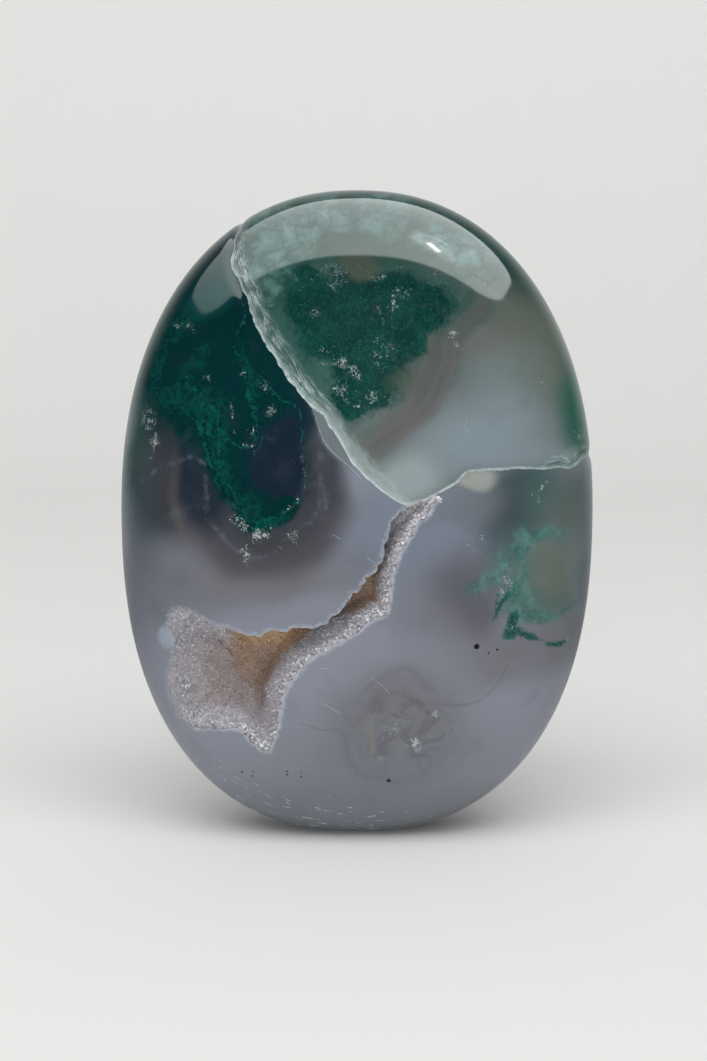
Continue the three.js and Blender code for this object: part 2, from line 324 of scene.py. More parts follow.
def cube_grid(cells):
    """Corners and quads of a grid over the six sides of a cube from -1 to 1, with shared corners merged."""
    corners, quads, start = [], [], 0
    for axis in range(3):
        u_axis, v_axis = (axis + 1) % 3, (axis + 2) % 3
        steps = (np.linspace(-1, 1, cells[u_axis] + 1), np.linspace(-1, 1, cells[v_axis] + 1))
        u, v = np.meshgrid(*steps, indexing="ij")
        for side in (-1, 1):
            sheet = np.empty((u.size, 3))
            sheet[:, axis], sheet[:, u_axis], sheet[:, v_axis] = side, u.ravel(), v.ravel()
            number = np.arange(u.size).reshape(u.shape) + start
            ring = [number[:-1, :-1], number[1:, :-1], number[1:, 1:], number[:-1, 1:]]
            quads.append(np.stack(ring[::side], axis=-1).reshape(-1, 4))
            corners.append(sheet)
            start += u.size
    merged, first = np.unique(np.concatenate(corners).round(9), axis=0, return_inverse=True)
    return merged, first.ravel()[np.concatenate(quads)]


def stone_corners(grid):
    """The cube's grid on the stone: tangent spacing, superellipse, the fracture's groove, the foot."""
    corners = on_surface(np.tan(grid * np.pi / 4) * HALF_SIZES)
    side, _ = side_of_fracture(corners)
    groove = GROOVE_DEPTH * np.exp(-((side / GROOVE_WIDTH) ** 2))
    inward = (STONE_MIDDLE - corners) / HALF_SIZES**2
    corners += groove[:, None] * inward / np.linalg.norm(inward, axis=1)[:, None]
    corners[:, 2] = np.maximum(corners[:, 2], 0)
    return corners


grid, stone_quads = cube_grid(STONE_CELLS)
stone = mesh_piece("agate", stone_corners(grid), stone_quads)
print("stone:", len(stone.data.vertices), "corners,", len(stone.data.polygons), "quads")

# %% [markdown]
# ## Cutting the hollow
# The cutter is a straight block with the outline of the mouth, which is taken out of the stone. It is
# applied at once, because colours are stored on the corners and the cut makes new ones. The edge of
# the cut is then marked sharp, so that the polish next to it still shines like a smooth curve.

# %% Cut
CUTTER_BACK_Y = -3.6
CUTTER_FRONT_Y = -18.0
SHARP_ANGLE = np.radians(32)


def mouth_cutter():
    """A prism: the mouth's outline once in front of the stone and once inside it, joined by a wall."""
    x, z = mouth_edge[:-1].T
    count = len(x)
    front = np.column_stack([x, np.full(count, CUTTER_FRONT_Y), z])
    back = np.column_stack([x, np.full(count, CUTTER_BACK_Y), z])
    near = np.arange(count)
    far = np.roll(near, -1)
    wall = np.stack([near, far, far + count, near + count], axis=1)
    caps = np.stack([near[::-1], near + count])
    return mesh_piece("cutter", np.concatenate([front, back]), wall, caps)


def cut_away(piece, cutter):
    """Takes the cutter's room out of a piece and makes the result its mesh."""
    cut = piece.modifiers.new("cut", "BOOLEAN")
    cut.operation, cut.solver, cut.object = "DIFFERENCE", "MANIFOLD", cutter
    evaluated = piece.evaluated_get(bpy.context.evaluated_depsgraph_get())
    mesh = bpy.data.meshes.new_from_object(evaluated)
    piece.modifiers.clear()
    piece.data = mesh
    bpy.data.objects.remove(cutter)


cut_away(stone, mouth_cutter())
stone.data.shade_smooth()
stone.data.set_sharp_from_angle(angle=SHARP_ANGLE)
print("stone with its hollow:", len(stone.data.vertices), "corners,", len(stone.data.polygons), "faces")

# %% [markdown]
# ## The crust
# The druse on the floor is a thin sheet of quartz. It is a fine grid over x and z, lifted to the floor
# in front and a little deeper behind. Only the cells near the mouth are kept, and a wall of quads closes
# the rim, which is buried in the stone.

# %% Sheet of the crust
SHEET_CELL = 0.2
SHEET_DEPTH = 1.1
SHEET_MARGIN = 0.55
sheet_x = np.arange(-21.4, 9.2, SHEET_CELL)
sheet_z = np.arange(9.8, 39.8, SHEET_CELL)


def crust_sheet():
    """Front and back grids over the kept cells, and a wall on each cell side that has no kept neighbour."""
    x, z = np.meshgrid(sheet_x, sheet_z, indexing="ij")
    middles = np.column_stack([x[:-1, :-1].ravel(), z[:-1, :-1].ravel()]) + SHEET_CELL / 2
    near = nearest_on(mouth_edge, middles)[0] < SHEET_MARGIN
    keep = (near | inside_of(mouth_edge, *middles.T)).reshape(x.shape[0] - 1, x.shape[1] - 1)
    front_y = crystal_floor(x.ravel(), z.ravel())
    front = np.column_stack([x.ravel(), front_y, z.ravel()])
    back = front + [0, SHEET_DEPTH, 0]
    number = np.arange(x.size).reshape(x.shape)
    a, b, c, d = number[:-1, :-1], number[1:, :-1], number[1:, 1:], number[:-1, 1:]
    quads = np.stack([a, b, c, d], axis=-1)[keep]
    padded = np.pad(keep, 1)
    walls = []
    for (start, end), neighbour in (
        ((b, a), padded[1:-1, :-2]),
        ((c, b), padded[2:, 1:-1]),
        ((d, c), padded[1:-1, 2:]),
        ((a, d), padded[:-2, 1:-1]),
    ):
        open_side = keep & ~neighbour
        s, e = start[open_side], end[open_side]
        walls.append(np.stack([s, e, e + x.size, s + x.size], axis=1))
    faces = np.concatenate([quads, quads[:, ::-1] + x.size, *walls])
    used, faces = np.unique(faces, return_inverse=True)
    return np.concatenate([front, back])[used], faces.reshape(-1, 4)


sheet_corners, sheet_quads = crust_sheet()
print("sheet of the crust:", len(sheet_quads), "quads")

# %% [markdown]
# ## The crystals
# A quartz point is a six-sided pyramid. Thousands of them grow from the floor, each straight out of it
# and leaning a little its own way. They are one array: a hexagon and a tip, turned to the direction
# that the floor faces and moved to its place. Those on the crest of the bank are larger, and what would
# stand out of the face is worn flush with it, as the tumbling wore it.

# %% Quartz points
CRYSTAL_FIELD_X = (-20.6, 8.4)
CRYSTAL_FIELD_Z = (10.6, 39.0)
CRYSTAL_PITCH = 0.23
CRYSTALS_ON_LEVEL = 0.8
CRYSTAL_RADIUS = (0.13, 0.27)
CRYSTAL_HEIGHT = (0.1, 0.27)
CRYSTAL_ROOT = 0.14
CRYSTAL_LEAN = 0.5
CREST_WIDTH = 1.0
CREST_GROWTH = 0.6
WORN_FLUSH = 0.01


def floor_normals(x, z):
    """The direction the floor faces, from its slopes measured over a short step each way."""
    step = 0.15
    slope_x = (crystal_floor(x + step, z) - crystal_floor(x - step, z)) / (2 * step)
    slope_z = (crystal_floor(x, z + step) - crystal_floor(x, z - step)) / (2 * step)
    normals = np.column_stack([slope_x, -np.ones_like(x), slope_z])
    return normals / np.linalg.norm(normals, axis=1)[:, None]


def crystal_places(rng):
    """A jittered grid over the mouth. A steep floor keeps more of its places, because it has more area."""
    places_x = np.arange(*CRYSTAL_FIELD_X, CRYSTAL_PITCH)
    places_z = np.arange(*CRYSTAL_FIELD_Z, CRYSTAL_PITCH)
    x, z = np.meshgrid(places_x, places_z)
    x = (x + rng.uniform(-0.5, 0.5, x.shape) * CRYSTAL_PITCH).ravel()
    z = (z + rng.uniform(-0.5, 0.5, z.shape) * CRYSTAL_PITCH).ravel()
    inside = inside_of(mouth_edge, x, z)
    x, z = x[inside], z[inside]
    facing = floor_normals(x, z)
    chosen = rng.uniform(size=len(x)) < CRYSTALS_ON_LEVEL / np.abs(facing[:, 1])
    return x[chosen], z[chosen], facing[chosen]


def quartz_points():
    """Hexagon rings and tips: place + root depth + radius around the lean axis, and the tip along it."""
    rng = np.random.default_rng(SEED)
    x, z, facing = crystal_places(rng)
    count = len(x)
    axis = facing + rng.normal(scale=CRYSTAL_LEAN / 2, size=(count, 3))
    axis /= np.linalg.norm(axis, axis=1)[:, None]
    helper = np.where(np.abs(axis[:, :1]) < 0.7, [[1.0, 0, 0]], [[0, 0, 1.0]])
    side = np.cross(axis, helper)
    side /= np.linalg.norm(side, axis=1)[:, None]
    other = np.cross(axis, side)
    crest = 1 - soft_step(0, CREST_WIDTH, nearest_on(BANK_LINE, np.column_stack([x, z]))[0])
    grown = 1 + CREST_GROWTH * crest * rng.uniform(0.2, 1, count)
    radius = (rng.uniform(*CRYSTAL_RADIUS, count) * grown)[:, None, None]
    height = (rng.uniform(*CRYSTAL_HEIGHT, count) * grown * (0.85 + 0.15 * crest))[:, None]
    angle = rng.uniform(0, np.pi, count)[:, None, None] + np.arange(6)[None, :, None] * np.pi / 3
    place = np.column_stack([x, crystal_floor(x, z), z])
    root = (place - axis * CRYSTAL_ROOT)[:, None]
    ring = root + radius * (np.cos(angle) * side[:, None] + np.sin(angle) * other[:, None])
    tip = (place + axis * height)[:, None]
    corners = np.concatenate([ring, tip], axis=1).reshape(-1, 3)
    corners[:, 1] = np.maximum(corners[:, 1], front_face(corners[:, 0], corners[:, 2]) + WORN_FLUSH)
    first = np.arange(count)[:, None] * 7
    now, following = np.arange(6), np.roll(np.arange(6), -1)
    flanks = np.stack([first + now, first + following, np.broadcast_to(first + 6, (count, 6))], axis=-1)
    return corners, flanks.reshape(-1, 3), first + now[::-1]


point_corners, point_flanks, point_bases = quartz_points()
shift = len(sheet_corners)
crust = mesh_piece(
    "quartz_druse",
    np.concatenate([sheet_corners, point_corners]),
    point_flanks + shift,
    sheet_quads,
    point_bases + shift,
)
print("crust:", len(point_bases), "quartz points,", len(crust.data.polygons), "faces")

# %% [markdown]
# ## Tones
# The colours of the agate are few: milky blue-grey chalcedony, brown-grey bands, and greens from nearly
# black to pale. Each one is named here as it looks in even light, and turned into the linear light that
# materials reckon with.

# %% Tones of the stone
LIGHT_ON_FACE = 1.04
PALEST = 0.9


def linear(red, green, blue, light=LIGHT_ON_FACE):
    """A screen colour from 0 to 255 as linear light, by the screen's curve, divided by its light."""
    c = np.array([red, green, blue]) / 255
    value = np.where(c <= 0.04045, c / 12.92, ((c + 0.055) / 1.055) ** 2.4)
    return np.minimum(value / light, PALEST)


MILK = linear(126, 130, 142)
BLUE = linear(108, 116, 129)
STEEL = linear(106, 110, 117)
SLATE = linear(58, 70, 75)
INK = linear(20, 34, 48)
DEEP_TEAL = linear(6, 42, 45)
PLUM = linear(76, 74, 80)
SMOKE = linear(55, 58, 64)
DUSK = linear(105, 104, 110)
SHADE = linear(97, 95, 101)
NODULE = linear(110, 110, 117)
BLOB = linear(88, 88, 96)
FACET = linear(104, 113, 118)
OLIVE = linear(78, 90, 84)
TAUPE = linear(74, 84, 74)
CHESTNUT = linear(100, 94, 90)
WARM_GREY = linear(80, 84, 81)
SHADOW_GREEN = linear(48, 78, 68)
GREY_GREEN = linear(96, 107, 105)
SAGE = linear(94, 104, 96)
MIST = linear(119, 132, 139)
PALE = linear(137, 148, 151)
TEAL_GREY = linear(46, 82, 76)
PINE = linear(18, 66, 60)
SEA_GREEN = linear(46, 92, 80)
TEAL = linear(16, 84, 84)
FROST = linear(194, 206, 206)
DISC = linear(142, 147, 142)
PEBBLE = linear(144, 153, 167)
SALLOW = linear(118, 120, 96)
print("milky chalcedony in linear light:", MILK.round(3))

# %% [markdown]
# ## Where the colours lie
# The soft colours are painted on the corners, as washes: tilted ellipses that fade out, laid one over
# the other on a warped map so that no edge is a perfect oval. The side of the fracture that a corner
# lies on decides which of two washes is seen, so both are painted everywhere. The photo shows the front
# only. Growths cross a stone at a slant, so the back gets the same ones, slid to one side. The small
# marks that lie in the polish itself stay on the front.

# %% Washes
SLANT = (0.25, -0.2)
NARROWING = 0.015


def warped_place(corners):
    """x and z of each corner, pushed about by long sines, and slid and narrowed with its depth."""
    x, y, z = corners.T
    depth = np.maximum(y + 1, 0)
    u = x * (1 - NARROWING * depth) + SLANT[0] * depth
    v = z + SLANT[1] * depth
    u = u + 0.3 * np.sin(0.42 * z + 0.9 * y + 1.1) + 0.2 * np.sin(0.95 * z + 0.5 * x)
    v = v + 0.3 * np.sin(0.38 * x + 0.8 * y + 0.3) + 0.2 * np.sin(0.88 * x - 0.6 * z)
    return u, v


def wash(place, centre, radii, turn, softness):
    """1 in a tilted ellipse, fading to 0 over the softness around its edge, by an S-shaped step."""
    u, v = place[0] - centre[0], place[1] - centre[1]
    angle = np.radians(turn)
    along = (u * np.cos(angle) + v * np.sin(angle)) / radii[0]
    across = (v * np.cos(angle) - u * np.sin(angle)) / radii[1]
    return 1 - soft_step(1 - softness, 1 + softness, np.hypot(along, across))


def painted(place, ground, washes, seen=1.0):
    """The ground colour with each wash laid over it in turn, as far as it is seen at each corner."""
    colour = np.zeros((len(place[0]), 3)) + ground
    for tone, strength, centre, radii, turn, softness in washes:
        cover = strength * wash(place, centre, radii, turn, softness) * seen
        colour += cover[:, None] * (tone - colour)
    return colour


# %% Washes outside the fracture
REST_WASHES = [
    (BLUE, 0.85, (8, 35), (9, 9), 15, 0.6),
    (DUSK, 0.8, (11.5, 27), (6.5, 4.2), 10, 0.7),
    (SLATE, 0.95, (17.6, 38.2), (5.6, 4.4), -5, 0.6),
    (GREY_GREEN, 0.7, (23.0, 32), (4.4, 10), 0, 0.6),
    (SAGE, 0.9, (20.0, 29.6), (3.2, 4.2), 8, 0.5),
    (SLATE, 0.6, (15.6, 35.8), (2.2, 4.0), -20, 0.7),
    (SLATE, 0.3, (25.2, 33), (1.2, 10), 0, 0.7),
    (STEEL, 0.5, (-2, 5.5), (13, 4.0), 0, 0.8),
    (BLUE, 0.6, (0.5, 35.5), (4, 4), 0, 0.7),
    (STEEL, 0.7, (11.2, 38.8), (4, 2.4), 0, 0.7),
    (BLOB, 0.9, (11.6, 29.4), (3.2, 3.4), 10, 0.8),
    (BLOB, 0.7, (13.2, 26.4), (1.8, 2.6), 0, 0.8),
    (OLIVE, 0.6, (22.6, 36.6), (1.6, 3.4), 0, 0.8),
    (DUSK, 0.8, (17.5, 21.5), (7.5, 3.4), 8, 0.6),
    (NODULE, 0.8, (4.3, 14.4), (7.6, 7.2), 0, 0.4),
    (SHADE, 0.7, (4.2, 13.8), (5.2, 5.0), 0, 0.7),
    (STEEL, 0.85, (1, 2.5), (17, 4.2), 0, 0.6),
    (STEEL, 1.0, (-21, 29.5), (5.5, 6.5), 0, 0.7),
    (STEEL, 0.7, (2.5, 10.5), (11, 5.5), 0, 0.8),
    (DUSK, 0.9, (-9, 29.8), (10, 4), 0, 0.6),
    (MILK, 0.8, (-5.5, 26.8), (6.5, 1.6), 15, 0.8),
    (PLUM, 0.95, (-10.2, 37.6), (9.2, 7.8), 0, 0.18),
    (SMOKE, 0.85, (-9.6, 37.4), (6.2, 5.4), 10, 0.4),
    (SMOKE, 0.95, (-4.2, 43.3), (3.4, 7.0), -15, 0.4),
    (SMOKE, 1.0, (-21, 40.4), (4.0, 7), 5, 0.3),
    (CHESTNUT, 0.3, (-18.9, 39.5), (0.6, 6.5), 2, 0.5),
    (SLATE, 0.6, (-23, 37), (2, 6), 5, 0.6),
    (INK, 0.85, (-16.4, 41), (2.5, 6.2), 8, 0.35),
    (DEEP_TEAL, 1.0, (-16.5, 55), (10, 11.5), -35, 0.25),
    (DEEP_TEAL, 1.0, (-11.5, 49), (7.2, 9.4), 8, 0.25),
    (INK, 1.0, (-8.4, 43), (3.6, 6.8), -10, 0.35),
    (TEAL_GREY, 0.5, (-24, 47), (2.4, 13), -12, 0.6),
]
FRONT_MARKS = [
    (FACET, 0.9, (-2.6, 45.6), (4.4, 0.8), -57, 0.2),
    (DISC, 0.95, (12.6, 40.9), (2.3, 1.2), 4, 0.3),
    (PEBBLE, 0.9, (-20.4, 22.7), (1.2, 1.1), 20, 0.2),
    (PEBBLE, 0.9, (-19.7, 22.9), (0.8, 0.8), 0, 0.2),
]
print("outside the fracture:", len(REST_WASHES), "washes and", len(FRONT_MARKS), "marks in front")

# %% Washes inside the lobe
LOBE_WASHES = [
    (TEAL_GREY, 0.95, (0, 67), (17, 6.5), 0, 0.45),
    (PINE, 0.95, (15, 64.5), (9.5, 3.6), -42, 0.45),
    (PINE, 0.7, (9.5, 67.6), (6, 1.8), -22, 0.5),
    (PINE, 0.8, (17.4, 60.6), (3.4, 2.0), -52, 0.3),
    (SHADOW_GREEN, 0.85, (1.5, 64.2), (7.4, 2.0), -4, 0.7),
    (CHESTNUT, 0.6, (17.6, 57.4), (3.4, 1.4), -15, 0.6),
    (OLIVE, 0.9, (10.5, 56), (6.0, 6.5), -20, 0.5),
    (WARM_GREY, 0.85, (7.6, 50.3), (5, 6.4), -25, 0.6),
    (TAUPE, 0.4, (17.2, 56.4), (2.6, 0.9), 22, 0.8),
    (SAGE, 0.8, (18.4, 52.5), (5.5, 8), 0, 0.5),
    (MIST, 0.45, (14, 49.5), (4.5, 5), 0, 0.8),
    (MIST, 1.0, (13, 44.8), (6.8, 4.0), 5, 0.7),
    (MIST, 0.7, (18, 42.4), (8, 1.8), 0, 0.7),
    (PALE, 0.95, (5.0, 40.4), (3.6, 2.6), 20, 0.6),
    (SEA_GREEN, 1.0, (23.8, 46.6), (2.1, 5.2), 8, 0.6),
    (PALE, 0.5, (22.6, 42.2), (1.6, 0.9), 12, 0.5),
    (TEAL_GREY, 0.9, (-7.0, 58.6), (3.4, 7.4), 28, 0.6),
    (TEAL_GREY, 0.8, (9.0, 59.6), (4.2, 2.6), -25, 0.8),
    (CHESTNUT, 0.7, (4.9, 46.2), (3.2, 1.2), 35, 0.8),
    (CHESTNUT, 0.5, (14.2, 55.0), (2.8, 1.6), 20, 0.8),
    (TEAL_GREY, 0.8, (-4.0, 51.8), (6.5, 2.6), -52, 0.6),
]
corners = corners_of(stone)
place = warped_place(corners)
seen_in_front = soft_step(3, -3, corners[:, 1])
rest_colour = painted(place, MILK, REST_WASHES)
write_field(stone, "rest_wash", painted(place, rest_colour, FRONT_MARKS, seen_in_front))
write_field(stone, "lobe_wash", painted(place, GREY_GREEN, LOBE_WASHES))
print("inside the lobe:", len(LOBE_WASHES), "washes, on", len(corners), "corners")

# %% [markdown]
# ## Where the moss and the frost lie
# The moss is a growth with ragged edges, so the corners only hold how thick it is, and the material
# breaks its edge up. The frost is small white flakes in crowds.

# %% Moss
LEFT_MOSS = [
    ((-17.5, 55.0), (8.0, 9.0), -35), ((-14.0, 49.6), (7.5, 6.0), 5), ((-13.3, 42.5), (2.3, 6.6), 12),
    ((-10.9, 37.0), (2.6, 2.4), 20), ((-8.0, 37.4), (2.4, 1.4), 40),
]
LEFT_GREEN = [
    ((-18.4, 48.4), (3.4, 1.6), 0), ((-15.6, 47.6), (2.4, 2.2), 30), ((-13.9, 42.6), (1.0, 4.8), 14),
    ((-11.6, 37.2), (1.5, 2.0), 25), ((-9.0, 36.0), (2.4, 0.8), 30), ((-11.2, 51.5), (0.6, 3.4), 8),
    ((-19.6, 55.6), (3.0, 1.2), 40), ((-16.8, 52.0), (1.2, 2.6), -30), ((-21.4, 51.0), (0.8, 4.0), -14),
]
LOBE_MOSS = [
    ((0.0, 57.4), (6.6, 4.8), 5), ((4.4, 58.6), (5.4, 3.4), -12), ((0.8, 51.8), (4.0, 4.4), -10),
    ((-5.2, 59.4), (2.4, 3.6), 15), ((5.6, 54.6), (1.8, 2.6), -30), ((0.2, 48.8), (2.4, 1.5), 5),
]
RIGHT_MOSS = [
    ((19.6, 34.4), (2.8, 0.9), 4), ((17.0, 33.2), (1.6, 1.3), 40), ((14.9, 31.2), (2.9, 1.0), 47),
    ((13.0, 29.5), (1.3, 0.8), 30), ((17.0, 31.0), (0.9, 2.6), 4), ((16.7, 28.0), (0.9, 3.2), 2),
    ((18.4, 25.6), (2.4, 0.9), 4), ((21.0, 25.6), (2.5, 0.5), 8), ((17.6, 26.6), (1.4, 1.4), 0),
]
RIGHT_HAZE = [((18.8, 38.5), (2.6, 4.2), 0), ((16.0, 32.0), (2.6, 3.2), 30), ((19.0, 27.0), (3.6, 1.8), 0)]
RIGHT_TIP = [
    ((16.8, 24.9), (0.6, 1.2), -25), ((16.6, 23.9), (1.2, 0.6), 10), ((18.4, 23.4), (1.5, 0.4), -16),
    ((21.4, 22.2), (1.2, 0.25), -8), ((15.5, 27.2), (0.3, 1.5), -25),
]
FROTH = [
    ((-8.0, 66.3), (4.6, 2.4), -30), ((-9.6, 62.6), (2.2, 2.6), 10), ((-3.2, 67.6), (2.8, 1.8), -8),
    ((2.8, 67.6), (3.4, 2.2), 0), ((8.2, 66.0), (3.6, 2.0), -20), ((11.8, 63.6), (3.0, 1.8), -40),
]


def thickest(spots, softness):
    """The greatest of several washes, as one field from 0 to 1."""
    return np.max([wash(place, centre, radii, turn, softness) for centre, radii, turn in spots], axis=0)


window_top = wash(place, (0.3, 62.4), (1.9, 1.5), 0, 0.3)
window_low = 0.6 * wash(place, (4.4, 50.6), (1.7, 1.0), 20, 0.8)
write_fields(
    stone,
    left_moss=thickest(LEFT_MOSS, 0.35),
    left_green=thickest(LEFT_GREEN, 0.8),
    teal_veil=wash(place, (-14.9, 60.2), (3.4, 1.5), 45, 0.8),
    lobe_moss=thickest(LOBE_MOSS, 0.35),
    right_moss=thickest(RIGHT_MOSS, 0.8) * (0.4 + 0.6 * seen_in_front),
    right_haze=thickest(RIGHT_HAZE, 0.9),
    right_tip=thickest(RIGHT_TIP, 0.6) * seen_in_front,
    froth=thickest(FROTH, 0.7),
    window=np.maximum(window_top, window_low) * seen_in_front,
    swirl=wash(place, (4.8, 13.6), (5.4, 5.0), 0, 0.4) * seen_in_front,
    sallow=wash(place, (1.85, 12.4), (0.35, 2.0), -2, 0.7) * seen_in_front,
)
print("moss:", len(LEFT_MOSS) + len(LOBE_MOSS) + len(RIGHT_MOSS), "growths")

# %% Frost
FROST_CROWDS = [
    ((-2.6, 61.2), 1.9, 0.9), ((2.0, 61.6), 1.1, 1.0), ((4.4, 62.4), 0.7, 0.9), ((4.4, 60.2), 1.1, 0.9),
    ((3.2, 57.4), 1.2, 0.7), ((-4.2, 57.9), 0.7, 0.8), ((-3.4, 54.1), 1.0, 0.9), ((-1.8, 52.8), 0.8, 1.0),
    ((-0.6, 52.0), 0.7, 1.1), ((-0.1, 50.6), 0.7, 0.9), ((1.0, 49.2), 1.1, 0.9), ((-2.0, 50.4), 0.9, 0.9),
    ((2.7, 53.6), 1.4, 0.8), ((10.5, 56.1), 0.7, 1.0), ((11.0, 54.9), 0.7, 1.1), ((11.9, 52.6), 0.5, 1.1),
    ((11.3, 46.6), 0.6, 1.0), ((-12.0, 51.4), 0.6, 1.2), ((-15.4, 50.6), 0.5, 1.1), ((-11.0, 44.6), 0.8, 1.2),
    ((-9.0, 47.8), 0.9, 0.9), ((-10.0, 50.4), 1.2, 0.8), ((-21.9, 46.0), 1.5, 1.0), ((-21.6, 43.6), 0.7, 1.0),
    ((-17.7, 56.2), 1.2, 0.7), ((-13.0, 36.4), 0.6, 1.2), ((-12.0, 35.4), 0.7, 1.1),
    ((-10.2, 34.7), 0.9, 1.3), ((-11.8, 32.8), 1.0, 1.3), ((-7.0, 34.4), 1.0, 1.0),
    ((-8.4, 36.4), 0.7, 1.0), ((-8.0, 32.8), 0.6, 0.9),
    ((19.3, 38.3), 0.6, 1.0), ((15.6, 29.2), 0.8, 1.0), ((16.6, 24.3), 0.5, 0.9), ((22.3, 21.8), 0.8, 1.0),
    ((4.2, 14.0), 1.8, 0.8), ((6.5, 11.6), 0.9, 1.4), ((2.3, 10.3), 0.7, 1.0), ((8.5, 15.2), 0.7, 1.0),
    ((9.8, 13.8), 1.6, 0.6), ((12.4, 34.3), 1.6, 0.8), ((19.2, 51), 2.4, 0.6), ((10.9, 10.1), 1.5, 0.6),
    ((-4, 65.5), 6.0, 0.45), ((9, 64), 5.0, 0.5), ((23.6, 44), 1.4, 0.7), ((15, 59), 3.0, 0.4),
]
FROST_CHAINS = [
    [(-13.6, 36.2), (-12.6, 35.3), (-10.8, 35.0), (-9.8, 34.9)], [(-12.1, 58.9), (-12.0, 56.2)],
    [(-9.4, 35.8), (-7.3, 37.6), (-5.9, 39.3), (-5.6, 42.1), (-5.4, 43.8)],
    [(-11.9, 44.0), (-10.8, 44.7), (-10.6, 45.7)], [(-13.2, 48.2), (-12.9, 44.9)],
    [(-22.5, 41.4), (-21.5, 43.4), (-21.2, 44.5), (-22.4, 45.3)],
    [(-19.2, 56.1), (-17.6, 56.5), (-16.6, 56.3)],
    [(-4.4, 53.1), (-2.5, 52.8), (-0.7, 52.1), (0.1, 51.0)], [(3.1, 61.3), (3.7, 59.1), (4.1, 57.2)],
    [(2.0, 58.0), (2.9, 56.0), (2.4, 54.4)], [(19.9, 40.2), (19.5, 38.4), (19.4, 36.6)],
    [(15.5, 31.0), (15.3, 29.0)], [(22.0, 21.6), (22.7, 22.2)], [(-1.4, 49.6), (0.4, 48.6), (2.2, 49.0)],
]
REACH_OF_CHAIN = 0.42


def near_chain(chain, points):
    """1 on a curve, falling to 0 at the reach of the chain beside it."""
    return np.clip(1 - nearest_on(smooth_line(chain, per_span=4), points)[0] / REACH_OF_CHAIN, 0, 1)


crowds = [weight * wash(place, centre, (size, size), 0, 0.8) for centre, size, weight in FROST_CROWDS]
crowds += [1.1 * near_chain(chain, np.column_stack(place)) for chain in FROST_CHAINS]
write_field(stone, "frost", np.max(crowds, axis=0) * seen_in_front)
print("frost:", len(FROST_CROWDS), "crowds and", len(FROST_CHAINS), "chains")

# %% [markdown]
# ## Fine lines
# Strands of moss, pale wisps and dark bands are curves. A thin line needs more than a distance, because
# the distance between two corners of the mesh never reads zero. The way to the line, as an arrow, turns
# round when it passes the line, so the material can find the exact place where its length is nothing.

# %% Lines of the stone
STRANDS = [
    [(-12.1, 58.6), (-12.1, 54.3), (-10.7, 51.8), (-8.9, 49.6), (-6.7, 48.5), (-6.0, 47.1), (-5.1, 44.7),
     (-5.3, 42.4), (-6.0, 39.1), (-7.4, 37.5), (-9.3, 36.4), (-11.2, 35.4)],
    [(-12.0, 51.8), (-11.5, 48.5), (-10.0, 46.1), (-9.8, 44.3), (-10.6, 43.2)],
    [(-21.4, 48.8), (-18.0, 49.8), (-15.2, 47.6), (-14.4, 43.6), (-13.4, 40.5), (-12.6, 37.4)],
    [(-17.6, 50.8), (-16.2, 48.9), (-16.6, 47.0), (-15.6, 44.8)],
    [(-14.6, 45.4), (-12.6, 43.9), (-11.0, 44.4), (-10.2, 46.4), (-11.0, 48.9)],
    [(-18.6, 47.4), (-16.6, 45.2), (-15.0, 41.8), (-13.9, 38.6), (-11.6, 36.0)],
    [(17.4, 23.8), (19.0, 23.0), (20.5, 22.4), (22.2, 21.7)],
    [(15.6, 30.8), (15.3, 28.3), (15.1, 27.1), (14.6, 25.7)],
]
WISPS = [
    [(-15.7, 40.5), (-15.6, 37.0), (-14.6, 34.4), (-12.8, 33.1), (-10.6, 32.3), (-8.2, 32.6)],
    [(-3.3, 43.9), (-4.0, 40.9), (-4.3, 37.7), (-4.9, 36.2), (-6.6, 35.6)],
    [(-3.5, 39.6), (-3.5, 36.4), (-2.8, 35.2)],
    [(-23.2, 39.0), (-22.1, 40.3), (-20.8, 41.4), (-17.5, 42.5), (-15.6, 41.6)],
]
SCRATCHES = [
    [(1.4, 20.0), (2.5, 18.8), (3.5, 17.3)], [(-3.5, 16.9), (-2.4, 16.6), (-1.2, 16.0)],
    [(-4.3, 20.9), (-3.2, 20.7)], [(-21.9, 42.6), (-21.0, 44.4)], [(2.3, 32.4), (1.1, 33.0)],
    [(-1.5, 34.8), (-2.6, 35.6)], [(-6.5, 50.5), (-5.3, 48.9), (-3.6, 45.9), (-1.6, 43.3), (0.7, 41.2)],
]
BANDS = [
    [(12.6, 58.4), (10.6, 56.4), (9.8, 54.5), (9.4, 53.1), (8.5, 50.9), (7.4, 48.6), (6.2, 46.9),
     (3.9, 45.5), (1.6, 44.3)],
]
HAIRLINES = [
    [(5.6, 16.9), (8.8, 16.3), (10.8, 16.5), (13.1, 17.4), (15.5, 19.5), (16.0, 20.6)],
    [(-6.1, 14.4), (-3.2, 14.2), (-0.3, 14.2)], [(-0.4, 70.2), (-0.4, 65.8)],
]
RINGS = [
    [(0.3, 18.3), (2.2, 19.6), (4.5, 20.3), (6.3, 19.4), (7.9, 18.2)],
    [(-1.3, 13.6), (-1.0, 11.1), (0.1, 9.0), (1.9, 7.7), (4.6, 7.4)],
    [(0.6, 14.6), (1.6, 16.8), (4.0, 17.6), (6.6, 16.6), (7.6, 14.4), (6.9, 12.2)],
]
LINE_RANGE = 5


